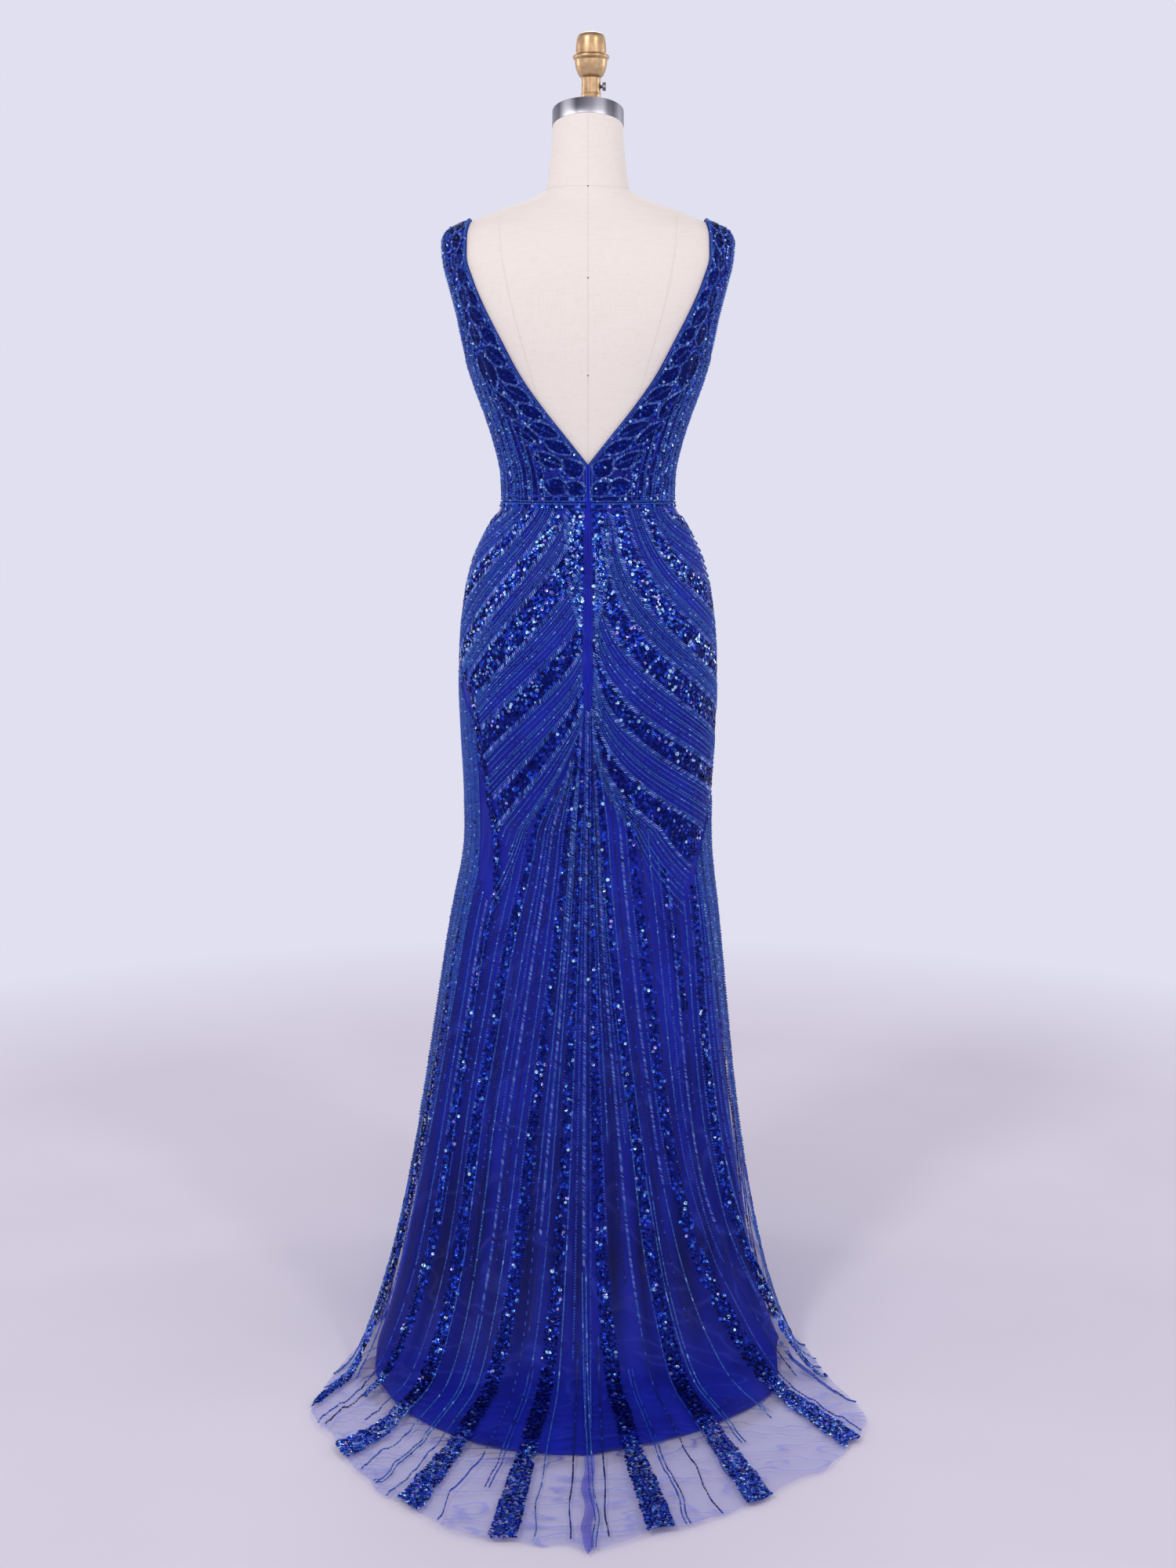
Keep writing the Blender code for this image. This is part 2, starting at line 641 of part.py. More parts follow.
def cut(target, cutter):
    """Leaves target cut by cutter, which isn't a piece of its own."""
    cutter.hide_render = True
    cutter.display_type = "WIRE"
    modifier = target.modifiers.new("cut_" + cutter.name, "BOOLEAN")
    modifier.operation = "DIFFERENCE"
    modifier.solver = "EXACT"
    modifier.object = cutter


def lay_on_screw_axis(made):
    """Lays an object modelled on the Z axis along the screw's axis, which runs along +X through the stem."""
    made.location = (FINIAL_X, 0.0, SCREW_Z)
    made.rotation_euler.y = math.pi / 2


def finial(finish):
    """The turned knob on its stem, cut to the cap's sloping lid, with a hole each side for a screw."""
    bm = turned([(STEM_RADIUS, NECK_TOP_Z), *FINIAL], FINIAL_SIDES)
    lid = (0.0, 0.0, neck_top_z(0.0, CAP_HEIGHT + 2 * SEAM_GAP))
    lid_up = (0.0, math.sin(NECK_TILT), math.cos(NECK_TILT))
    everything = [*bm.verts, *bm.edges, *bm.faces]
    bmesh.ops.bisect_plane(bm, geom=everything, plane_co=lid, plane_no=lid_up, clear_inner=True)
    bmesh.ops.holes_fill(bm, edges=[edge for edge in bm.edges if edge.is_boundary])
    made = add_object("form_finial", bm, finish)
    made.location.x = FINIAL_X
    inner, outer = STEM_RADIUS - SCREW_HOLE_DEPTH, STEM_RADIUS + SCREW_HOLE_DEPTH
    holes = (
        ("screw_hole", SCREW_HOLE_RADIUS, inner, outer),
        ("spare_hole", SPARE_HOLE_RADIUS, -outer, -inner),
    )
    for name, radius, low, high in holes:
        hole = add_object(name, cylinder(radius, low, high, SCREW_SIDES), finish)
        lay_on_screw_axis(hole)
        cut(made, hole)
    return made


def clamp_screw(finish):
    """The thumb screw, with its origin on its own axis."""
    tip = STEM_RADIUS - SCREW_HOLE_DEPTH + SEAM_GAP
    head = STEM_RADIUS + SCREW_HEAD_GAP
    end = head + SCREW_HEAD_THICK
    outline = [
        (SCREW_RADIUS, tip),
        (SCREW_RADIUS, head),
        (SCREW_HEAD_RADIUS, head),
        (SCREW_HEAD_RADIUS, end - SCREW_HEAD_EDGE),
        (SCREW_HEAD_RADIUS - SCREW_HEAD_EDGE, end),
    ]
    made = add_object("clamp_screw", turned(outline, SCREW_SIDES), finish)
    lay_on_screw_axis(made)
    return made


BASE = (
    TurnedPoint(BASE_RADIUS - 0.003, 0.0),
    TurnedPoint(BASE_RADIUS, 0.003),
    TurnedPoint(BASE_RADIUS, 0.011),
    TurnedPoint(BASE_RADIUS - 0.006, 0.015),
    TurnedPoint(0.060, 0.022),
    TurnedPoint(0.034, 0.030),
    TurnedPoint(0.028, 0.060),
    TurnedPoint(0.024, 0.064),
)
BASE_SIDES = 32
POLE_SIDES = 24


def stand_pole(finish):
    """The pole, from the top of the foot's hub to the underside of the form."""
    low, high = BASE[-1].z + SEAM_GAP, FORM_BOTTOM_Z - SEAM_GAP
    return add_object("stand_pole", cylinder(POLE_RADIUS, low, high, POLE_SIDES), finish)


def stand_base(finish):
    """The round cast foot with the hub that carries the pole."""
    return add_object("stand_base", turned(BASE, BASE_SIDES), finish)


# Everything together ------------------------------------------------------------------------------


def build():
    beaded = material("beaded_tulle", (0.020, 0.045, 0.36), 0.45)
    plain_blue = material("blue_lining", (0.018, 0.022, 0.34), 0.60)
    tape = material("zip_tape_blue", (0.012, 0.016, 0.22), 0.70)
    linen = material("cream_linen", (0.80, 0.72, 0.68), 0.85)
    steel = material("brushed_steel", (0.55, 0.55, 0.57), 0.30, 1.0)
    gold = material("gold_paint", (0.72, 0.47, 0.22), 0.38, 1.0)
    iron = material("black_enamel", (0.03, 0.03, 0.035), 0.45)

    bodice_panel("bodice_back_left", -1, -1, BACK_NECKLINE, beaded)
    bodice_panel("bodice_back_right", 1, -1, BACK_NECKLINE, beaded)
    bodice_panel("bodice_front_left", -1, 1, FRONT_NECKLINE, beaded)
    bodice_panel("bodice_front_right", 1, 1, FRONT_NECKLINE, beaded)
    skirt_panel("skirt_back_left", -90, 0, TULLE_BACK_COLUMNS, True, beaded)
    skirt_panel("skirt_back_right", 0, 90, TULLE_BACK_COLUMNS, True, beaded)
    skirt_panel("skirt_front", 90, 270, TULLE_FRONT_COLUMNS, True, beaded)
    skirt_panel("lining_back_left", -90, 0, LINING_BACK_COLUMNS, False, plain_blue)
    skirt_panel("lining_back_right", 0, 90, LINING_BACK_COLUMNS, False, plain_blue)
    skirt_panel("lining_front", 90, 270, LINING_FRONT_COLUMNS, False, plain_blue)
    zip_tape(tape)

    form_torso(linen)
    neck_cap(steel)
    finial(gold)
    clamp_screw(steel)
    stand_pole(steel)
    stand_base(iron)


for old in list(bpy.data.objects):
    bpy.data.objects.remove(old, do_unlink=True)
build()
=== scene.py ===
# %% [markdown]
# # A beaded evening gown with a train, on a dress form
#
# The real gown is royal-blue tulle, sewn all over with sequins and glass beads, over a plain lining. It is cut
# in panels: four for the bodice and three for the skirt, with three more for the skirt's lining. It hangs on a
# linen-covered dress form with a steel collar, a gilt finial and a pole.
#
# The CAD model gives every piece its place. Here each cloth panel is made again as a thin sheet on the CAD
# panel's form, and the beadwork is laid on it, sequin by sequin, from short tables of lines.

import math
from collections import namedtuple

import bmesh
import bpy
import numpy as np
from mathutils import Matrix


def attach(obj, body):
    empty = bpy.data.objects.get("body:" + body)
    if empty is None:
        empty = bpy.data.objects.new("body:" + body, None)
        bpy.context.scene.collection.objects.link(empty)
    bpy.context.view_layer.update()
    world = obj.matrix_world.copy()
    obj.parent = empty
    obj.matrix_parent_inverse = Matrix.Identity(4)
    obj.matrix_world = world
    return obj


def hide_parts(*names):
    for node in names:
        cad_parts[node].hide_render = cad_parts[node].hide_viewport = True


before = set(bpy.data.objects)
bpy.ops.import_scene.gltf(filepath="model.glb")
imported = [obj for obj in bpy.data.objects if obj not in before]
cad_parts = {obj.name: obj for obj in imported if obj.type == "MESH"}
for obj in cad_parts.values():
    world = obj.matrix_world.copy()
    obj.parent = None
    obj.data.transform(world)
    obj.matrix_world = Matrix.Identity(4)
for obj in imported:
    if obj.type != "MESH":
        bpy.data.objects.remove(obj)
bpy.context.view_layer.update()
chance = np.random.default_rng(7)
scene = bpy.context.scene

# %% [markdown]
# ## Camera, floor and light
#
# The gown is seen from the back, by a camera at about the height of the waist that is tilted down a little. The
# lens is a short telephoto, so the train in front isn't blown up. The floor is one large pale sheet that turns
# into the colour of the backdrop further out, which is simpler than a wall and looks the same from every side.


# %% Colours and nodes
def from_hex(code):
    """An sRGB hex colour as the linear colour that Blender's shaders use."""
    srgb = [int(code[i : i + 2], 16) / 255 for i in (1, 3, 5)]
    return (*[c / 12.92 if c <= 0.04045 else ((c + 0.055) / 1.055) ** 2.4 for c in srgb], 1.0)


def set_node(node, sockets=None, links=None, stops=()):
    """Sets a node's unlinked sockets, the links into it, and the places and colours of a colour ramp's stops."""
    for name, value in (sockets or {}).items():
        node.inputs[name].default_value = value
    for name, (source, output) in (links or {}).items():
        node.id_data.links.new(source.outputs[output], node.inputs[name])
    for number, (at, colour) in enumerate(stops):
        ramp = node.color_ramp.elements
        stop = ramp[number] if number < 2 else ramp.new(at)
        stop.position, stop.color = at, from_hex(colour)
    return node


def add_node(tree, kind, sockets=None, links=None, stops=(), **settings):
    """Adds a shader node by its kind, with its settings, its sockets and the links into it."""
    made = tree.nodes.new("ShaderNode" + kind)
    for name, value in settings.items():
        setattr(made, name, value)
    return set_node(made, sockets, links, stops)


def new_material(name, **sockets):
    """A material, its tree, its shader with the sockets set by name (_ for a space), and a link to a place."""
    made = bpy.data.materials.new(name)
    made.use_nodes = True
    tree = made.node_tree
    shader = set_node(tree.nodes["Principled BSDF"], {key.replace("_", " "): sockets[key] for key in sockets})
    return made, tree, shader, (add_node(tree, "TexCoord"), "Object")


print("half of full brightness, #808080, is", round(from_hex("#808080")[0], 3), "in linear light")

# %% The camera
CAMERA_PLACE = (0.0, -3.0, 1.2)
CAMERA_TILT = 9.0
SENSOR_HEIGHT, LENS = 36.0, 50.22
camera_data = bpy.data.cameras.new("camera")
camera_data.sensor_fit = "VERTICAL"
camera_data.sensor_height, camera_data.lens = SENSOR_HEIGHT, LENS
camera = bpy.data.objects.new("camera", camera_data)
camera.location = CAMERA_PLACE
camera.rotation_euler = (math.radians(90 - CAMERA_TILT), 0.0, 0.0)
scene.collection.objects.link(camera)
scene.camera = camera
scene.view_settings.view_transform = "Standard"
print("camera:", CAMERA_PLACE[2], "m up, a lens of", LENS, "mm, tilted down by", CAMERA_TILT, "degrees")

# %% The floor and the sky
BACKDROP, CEILING = from_hex("#e1e0f0"), from_hex("#a4a2b0")
FLOOR, FLOOR_CLOUD = from_hex("#e2dbe3"), from_hex("#eae3ed")
FLOOR_SIZE, FLOOR_DROP = 60.0, 0.0005
CLOUDS = 3.0  # to the metre
FLOOR_FADES = {"From Min": 1.35, "From Max": 2.2}
SKY_FADES = {"From Min": 0.32, "From Max": 0.72}
ROOM_LIGHT = 1.0

# Matt floor paint: flat, with broad clouds of a slightly lighter tone. Sockets 6 and 7 of a Mix node are its two
# colours, and output 2 is the mixed one.
floor_material, tree, shader, place = new_material("painted_floor", Roughness=0.85)
away = add_node(tree, "VectorMath", links={0: place}, operation="LENGTH")
fade = add_node(tree, "MapRange", FLOOR_FADES, {"Value": (away, "Value")})
cloud = add_node(tree, "TexNoise", {"Scale": CLOUDS, "Detail": 2.0}, {"Vector": place})
tone = add_node(tree, "Mix", {6: FLOOR, 7: FLOOR_CLOUD}, {0: (cloud, "Fac")}, data_type="RGBA")
set_node(shader, links={"Base Color": (tone, 2)})
far = add_node(tree, "Emission", {"Color": BACKDROP, "Strength": ROOM_LIGHT})
both = add_node(tree, "MixShader", links={0: (fade, "Result"), 1: (shader, "BSDF"), 2: (far, "Emission")})
set_node(tree.nodes["Material Output"], links={"Surface": (both, "Shader")})

half = FLOOR_SIZE / 2
corners = [(-half, -half, 0), (half, -half, 0), (half, half, 0), (-half, half, 0)]
floor_mesh = bpy.data.meshes.new("floor")
floor_mesh.from_pydata(corners, [], [(0, 1, 2, 3)])
floor_mesh.materials.append(floor_material)
floor = bpy.data.objects.new("floor", floor_mesh)
floor.location.z = -FLOOR_DROP
scene.collection.objects.link(floor)

world = bpy.data.worlds.new("soft_room")
scene.world = world
world.use_nodes = True
tree = world.node_tree
direction = add_node(tree, "TexCoord")
height = add_node(tree, "SeparateXYZ", links={"Vector": (direction, "Generated")})
above = add_node(tree, "MapRange", SKY_FADES, {"Value": (height, "Z")})
tone = add_node(tree, "Mix", {6: BACKDROP, 7: CEILING}, {0: (above, "Result")}, data_type="RGBA")
set_node(tree.nodes["Background"], {"Strength": ROOM_LIGHT}, {"Color": (tone, 2)})
print("floor:", FLOOR_SIZE, "m across; it has turned into the backdrop", FLOOR_FADES["From Max"], "m from the pole")

# %% The lights
LIT_POINT = np.array([0.0, 0.0, 0.95])
# Square lights that face the gown: where each stands, the length of its side in metres and its power in watts.
SOFTBOXES = (
    ((-1.7, -2.4, 3.4), 0.60, 34.0),
    ((1.9, -2.3, 3.1), 0.45, 17.0),
    ((0.5, -3.3, 2.2), 0.25, 5.0),
    ((0.0, 2.6, 3.2), 1.20, 20.0),
    ((-2.9, 0.8, 1.8), 0.60, 8.0),
    ((2.9, 0.8, 1.8), 0.60, 8.0),
)
for number, (spot, side, watts) in enumerate(SOFTBOXES):
    data = bpy.data.lights.new(f"softbox_{number}", "AREA")
    data.size, data.energy = side, watts
    lamp = bpy.data.objects.new(f"softbox_{number}", data)
    lamp.location = spot
    x, y, z = LIT_POINT - np.array(spot)
    lamp.rotation_euler = (math.atan2(math.hypot(x, y), -z), 0.0, math.atan2(-x, y))
    scene.collection.objects.link(lamp)
print("lights:", len(SOFTBOXES))

# %% [markdown]
# ## The body's surface
#
# The form and the gown share one surface. It goes through a table of sections, each one a rounded oval with a
# half width, a depth behind and before, and a squareness. A cloth panel is that surface moved out a little.


# %% Reading the tables
def table(names, *rows):
    """The columns of a table by name, from rows of numbers in the names' order."""
    return dict(zip(names.split(), np.array(rows, float).T))


def smooth_through(xs, ys, at):
    """A monotone cubic curve through the points (xs, ys), read at the values in at."""
    at = np.clip(np.asarray(at, float), xs[0], xs[-1])
    step = np.diff(xs)
    slope = np.diff(ys) / step
    tangent = np.zeros(len(xs))
    same_way = slope[:-1] * slope[1:] > 0
    both = np.where(same_way, slope[:-1] + slope[1:], 1.0)
    tangent[1:-1] = np.where(same_way, 2 * slope[:-1] * slope[1:] / both, 0.0)
    tangent[0], tangent[-1] = slope[0], slope[-1]
    i = np.clip(np.searchsorted(xs, at, side="right") - 1, 0, len(step) - 1)
    t = (at - xs[i]) / step[i]
    rise = (1 - t) ** 2 * (1 + 2 * t) * ys[i] + t**2 * (3 - 2 * t) * ys[i + 1]
    bend = t * (1 - t) ** 2 * tangent[i] - t**2 * (1 - t) * tangent[i + 1]
    return rise + bend * step[i]


def unit(vectors):
    return vectors / np.maximum(np.linalg.norm(vectors, axis=-1, keepdims=True), 1e-12)


def eased(share):
    return share**2 * (3 - 2 * share)


def distance_along(points):
    """How far along a line of points each of them is."""
    return np.append(0.0, np.cumsum(np.linalg.norm(np.diff(points, axis=0), axis=1)))


three = table("x y", (0, 0), (1, 1), (2, 4))
print("a curve through 0, 1 and 4, read between them:", smooth_through(*three.values(), [0.5, 1.5]))

# %% Sizes of the form and the gown
WAIST_Z, HIP_Z, KNEE_Z = 1.115, 0.870, 0.680
UNDERARM_Z, SHOULDER_Z, NECK_BASE_Z = 1.305, 1.484, 1.5255
SEAM_GAP = 0.0003
BODICE_THICK, LINING_THICK, TULLE_THICK = 0.0020, 0.0010, 0.0012
LINING_CLEAR, STRAP_CLEAR = 0.0020, 0.0008
TULLE_CLEAR = LINING_CLEAR + LINING_THICK + 2 * SEAM_GAP
STRAP_INNER_X, STRAP_OUTER_X = 0.1540, 0.1895
ARMHOLE_BITE, ARMHOLE_ROUND = 0.012, 0.7
BUST_X, BUST_Z = 0.082, 1.272
BUST_SPREAD_X, BUST_SPREAD_Z = 0.054, 0.052
BUST_RISE, BUST_CLEAR, BUST_CLEAR_SPREAD_Z = 0.023, 0.0018, 0.068

# The form's outline at some heights: half width, depth behind and before the axis, and squareness.
BODY = table(
    "z half_width back front square",
    (0.600, 0.1650, 0.117, 0.112, 2.10),
    (0.680, 0.1645, 0.119, 0.116, 2.10),
    (0.740, 0.1660, 0.122, 0.120, 2.10),
    (0.800, 0.1690, 0.127, 0.122, 2.15),
    (0.870, 0.1710, 0.130, 0.122, 2.15),
    (0.930, 0.1690, 0.128, 0.120, 2.15),
    (0.980, 0.1640, 0.118, 0.116, 2.15),
    (1.030, 0.1530, 0.100, 0.108, 2.10),
    (1.075, 0.1330, 0.085, 0.100, 2.10),
    (1.115, 0.1120, 0.078, 0.095, 2.10),
    (1.150, 0.1130, 0.080, 0.096, 2.10),
    (1.190, 0.1210, 0.086, 0.101, 2.15),
    (1.235, 0.1345, 0.094, 0.108, 2.20),
    (1.280, 0.1505, 0.101, 0.116, 2.30),
    (1.320, 0.1630, 0.106, 0.115, 2.60),
    (1.360, 0.1725, 0.108, 0.107, 2.90),
    (1.400, 0.1835, 0.106, 0.096, 3.00),
    (1.432, 0.1910, 0.100, 0.085, 2.90),
    (1.452, 0.1922, 0.093, 0.077, 2.70),
    (1.465, 0.1880, 0.087, 0.072, 2.50),
    (1.476, 0.1740, 0.081, 0.068, 2.40),
    (1.484, 0.1540, 0.076, 0.064, 2.30),
    (1.497, 0.1220, 0.068, 0.058, 2.20),
    (1.506, 0.0960, 0.063, 0.055, 2.10),
    (1.515, 0.0720, 0.060, 0.053, 2.00),
    (1.5255, 0.0550, 0.056, 0.052, 2.00),
)
print("sections:", len(BODY["z"]), "of which the widest is", 2 * BODY["half_width"].max(), "m across")


# %% A point on the body
def body_size(name, z):
    return smooth_through(BODY["z"], BODY[name], z)


def body_point(angle, z):
    """A point on the form. The angle is 0 at the right side and minus a quarter turn at the centre back."""
    angle, z = np.broadcast_arrays(np.asarray(angle, float), np.asarray(z, float))
    round_off = 2 / body_size("square", z)
    cosine, sine = np.cos(angle), np.sin(angle)
    across = np.sign(cosine) * np.abs(cosine) ** round_off
    along = np.sign(sine) * np.abs(sine) ** round_off
    x = body_size("half_width", z) * across
    depth = np.where(along < 0, body_size("back", z), body_size("front", z))
    lobe = np.exp(-(((np.abs(x) - BUST_X) / BUST_SPREAD_X) ** 2) - ((z - BUST_Z) / BUST_SPREAD_Z) ** 2)
    y = depth * along + BUST_RISE * lobe * np.clip(along, 0, 1) ** 2
    return np.stack([x, y, z], axis=-1)


def body_normal(angle, z):
    nudge = 1e-4
    round_it = body_point(angle + nudge, z) - body_point(angle - nudge, z)
    up_it = body_point(angle, z + nudge) - body_point(angle, z - nudge)
    return unit(np.cross(round_it, up_it))


def off_body(angle, z, lift):
    """A point that far out from the form."""
    return body_point(angle, z) + body_normal(angle, z) * lift


hip_ring = body_point(np.linspace(0, 2 * math.pi, 400), HIP_Z)
print("hips round, in metres:", round(float(distance_along(hip_ring)[-1]), 3))

# %% [markdown]
# ## Grids of cloth
#
# Cloth is a sheet, so it is easiest to think of it as a grid: rows that go down and columns that go round. Each
# panel is a slice of a grid. The same grid then tells the beadwork where it lies, because any place on the
# cloth is a row and a column, and beads follow the folds with no fitting.

# %% A surface that can be read anywhere
NEARBY, LEAST_AREA = 1e-3, 0.3


class Surface:
    """A grid of points on a piece of cloth, with a number for each row and each column."""

    def __init__(self, rows, columns, points):
        self.rows, self.columns, self.points = rows, columns, points
        self.normals = unit(np.cross(np.gradient(points, axis=0), np.gradient(points, axis=1)))

    def at(self, row, col):
        """The points and outward directions at these row and column numbers."""
        r = np.interp(row, self.rows, np.arange(len(self.rows)))
        c = np.interp(col, self.columns, np.arange(len(self.columns)))
        r0 = np.minimum(r.astype(int), len(self.rows) - 2)
        c0 = np.minimum(c.astype(int), len(self.columns) - 2)
        fr, fc = (r - r0)[..., None], (c - c0)[..., None]
        found = []
        for grid in (self.points, self.normals):
            above = grid[r0, c0] * (1 - fc) + grid[r0, c0 + 1] * fc
            below = grid[r0 + 1, c0] * (1 - fc) + grid[r0 + 1, c0 + 1] * fc
            found.append(above * (1 - fr) + below * fr)
        return found[0], unit(found[1])

    def steps_aside(self, row, col):
        """How much the row and column numbers change for each metre to the side of a line on the cloth."""
        reach_r = (self.rows[-1] - self.rows[0]) * NEARBY
        reach_c = (self.columns[-1] - self.columns[0]) * NEARBY
        row, col = np.asarray(row, float), np.asarray(col, float)
        low_r, high_r = np.maximum(row - reach_r, self.rows[0]), np.minimum(row + reach_r, self.rows[-1])
        low_c, high_c = np.maximum(col - reach_c, self.columns[0]), np.minimum(col + reach_c, self.columns[-1])
        points, normals = self.at(row, col)
        by_row = (self.at(high_r, col)[0] - self.at(low_r, col)[0]) / (high_r - low_r + 1e-12)[..., None]
        by_col = (self.at(row, high_c)[0] - self.at(row, low_c)[0]) / (high_c - low_c + 1e-12)[..., None]
        aside = np.cross(normals, unit(np.gradient(points, axis=0)))
        rr, rc, cc = [(a * b).sum(-1) for a, b in ((by_row, by_row), (by_row, by_col), (by_col, by_col))]
        ra, ca = (aside * by_row).sum(-1), (aside * by_col).sum(-1)
        # where rows and columns nearly run along each other, the area between them is kept from vanishing
        area = np.maximum(rr * cc - rc**2, LEAST_AREA * rr * cc + 1e-12)
        return (ra * cc - ca * rc) / area, (ca * rr - ra * rc) / area


# %% Meshes from grids
def show(mesh, finish, smooth=True, sharp=None):
    """Links a mesh, as an object of its name, with its materials and, in degrees, from where its edges are sharp."""
    for one in finish if isinstance(finish, list) else [finish]:
        mesh.materials.append(one)
    if smooth:
        mesh.shade_smooth()
    if sharp:
        mesh.set_sharp_from_angle(angle=math.radians(sharp))
    made = bpy.data.objects.new(mesh.name, mesh)
    scene.collection.objects.link(made)
    return made


def mesh_from_arrays(name, points, faces):
    """A mesh from an array of points and an array of faces, all with the same number of corners."""
    mesh = bpy.data.meshes.new(name)
    mesh.vertices.add(len(points))
    mesh.loops.add(faces.size)
    mesh.polygons.add(len(faces))
    mesh.vertices.foreach_set("co", np.ascontiguousarray(points, dtype=np.float32).ravel())
    mesh.loops.foreach_set("vertex_index", np.ascontiguousarray(faces, dtype=np.int32).ravel())
    mesh.polygons.foreach_set("loop_start", np.arange(0, faces.size, faces.shape[1], dtype=np.int32))
    mesh.update(calc_edges=True)
    return mesh


def quads(index):
    """The four-cornered faces between neighbours in a grid of point numbers."""
    corners = (index[:-1, :-1], index[1:, :-1], index[1:, 1:], index[:-1, 1:])
    return np.stack([corner.ravel() for corner in corners], axis=-1)


def cloth(name, grid, finish, thickness=0.0):
    """A thin sheet on a grid of points, with thickness inwards where the real cloth has two layers."""
    index = np.arange(grid.shape[0] * grid.shape[1]).reshape(grid.shape[:2])
    made = show(mesh_from_arrays(name, grid.reshape(-1, 3), quads(index)), finish)
    if thickness:
        wall = made.modifiers.new("thickness", "SOLIDIFY")
        wall.thickness, wall.offset = thickness, -1.0
    return made


def cut_size(grid):
    """The width and length of the rectangle that a panel is cut from, and its flat area."""
    across, down = np.diff(grid, axis=1), np.diff(grid, axis=0)
    width = np.linalg.norm(across, axis=-1).sum(axis=1).max()
    length = np.linalg.norm(down, axis=-1).sum(axis=0).max()
    area = np.linalg.norm(np.cross(across[:-1], down[:, :-1]), axis=-1).sum()
    return (round(float(width), 3), round(float(length), 3)), round(float(area), 4)


print("faces in a grid of 3 by 4 points:", len(quads(np.arange(12).reshape(3, 4))))

# %% [markdown]
# ## The skirt
#
# The skirt hugs the hips, then flares from the knee in ribs that each end at their own place on the floor. At
# the back they run on into a train. A short table holds those places, for the left and for the right, because
# the train was pulled out by hand and isn't even. Folds are valleys that deepen downwards: fourteen large ones,
# which the CAD model also has, and small creases between them, all of uneven sizes.

# %% Where the ribs end
# Ribs by their angle round the knee from the centre back. touch is the share of the way out where a rib reaches
# the floor, x and y are its end there, lining_end is the share where its lining stops, and sweep how it flares.
HEM = table(
    "angle touch left_x left_y left_lining_end left_sweep right_x right_y right_lining_end right_sweep",
    (0, 0.46, 0.000, -0.778, 0.700, 2.20, 0.000, -0.778, 0.700, 2.20),
    (15, 0.48, 0.118, -0.752, 0.710, 2.15, 0.122, -0.722, 0.700, 2.20),
    (30, 0.54, 0.225, -0.662, 0.730, 2.05, 0.230, -0.636, 0.700, 2.20),
    (45, 0.67, 0.303, -0.530, 0.765, 1.85, 0.312, -0.540, 0.680, 2.25),
    (58, 0.82, 0.343, -0.412, 0.750, 1.60, 0.341, -0.462, 0.600, 2.40),
    (72, 0.97, 0.312, -0.235, 0.860, 1.40, 0.298, -0.265, 0.800, 2.20),
    (90, 1.00, 0.277, -0.065, 0.950, 1.10, 0.250, -0.065, 0.930, 1.50),
    (110, 1.00, 0.260, 0.085, 0.950, 1.05, 0.236, 0.085, 0.950, 1.30),
    (132, 1.00, 0.200, 0.190, 0.950, 1.05, 0.186, 0.190, 0.950, 1.15),
    (155, 1.00, 0.108, 0.246, 0.950, 1.05, 0.104, 0.246, 0.950, 1.05),
    (180, 1.00, 0.000, 0.262, 0.950, 1.05, 0.000, 0.262, 0.950, 1.05),
)
HANGS_TO_HEM = 0.999
TULLE_FLOAT = 0.0030
TRAIN_FADE, TRAIN_SHARE = 0.13, 0.15
FLARE_EASE = 0.075
LINING_SLACK, LINING_SLACK_GROWTH = 0.030, 1.3
LINING_SAG, LINING_SAG_GROWTH = 0.012, 2
LINING_FOLD_SHARE = 0.6
PROFILE_STEPS = 260
print("the train ends", -HEM["left_y"].min(), "m behind the pole")


def hem_size(name, angle):
    name = name if name in HEM else f"{'left' if angle < 0 else 'right'}_{name}"
    return smooth_through(HEM["angle"], HEM[name], abs(angle))

# %% The folds
# Valleys in the skirt: angle from the centre back (left is negative), half width in degrees, depth and top.
FOLDS = (
    (-72, 8.0, 0.014, 0.50), (-47, 7.5, 0.022, 0.56), (-19, 7.0, 0.015, 0.48), (8, 7.5, 0.022, 0.58),
    (31, 6.5, 0.014, 0.50), (56, 8.0, 0.020, 0.56), (80, 7.5, 0.012, 0.44), (104, 8.0, 0.016, 0.48),
    (128, 7.5, 0.020, 0.54), (152, 8.0, 0.014, 0.46), (178, 8.0, 0.021, 0.55), (-156, 7.5, 0.015, 0.48),
    (-131, 8.0, 0.020, 0.54), (-102, 8.5, 0.016, 0.48),
)
CREASES = (
    (-83, 2.6, 0.0095, 0.51), (-60, 2.2, 0.0114, 0.59), (-54, 1.8, 0.0076, 0.45), (-36, 2.4, 0.0123, 0.61),
    (-29, 2.0, 0.0076, 0.43), (-10, 2.4, 0.0104, 0.55), (-3, 1.8, 0.0076, 0.47), (17, 2.2, 0.0104, 0.59),
    (23, 2.0, 0.0085, 0.45), (40, 2.4, 0.0123, 0.63), (47, 2.0, 0.0095, 0.49), (67, 2.4, 0.0104, 0.55),
    (91, 2.6, 0.0095, 0.49), (115, 2.4, 0.0114, 0.55), (139, 2.6, 0.0104, 0.51), (165, 2.4, 0.0114, 0.57),
    (-169, 2.4, 0.0095, 0.49), (-143, 2.6, 0.0114, 0.55), (-117, 2.4, 0.0095, 0.51), (-94, 2.2, 0.0095, 0.53),
)
FOLD_GROWTH = 1.3
RIDGE_SHARE, LINING_RIDGE_SHARE = 0.30, 0.8
TRAIN_CREASE_SHARE = 0.35


def wrapped(angle):
    return (np.asarray(angle, float) + 180) % 360 - 180


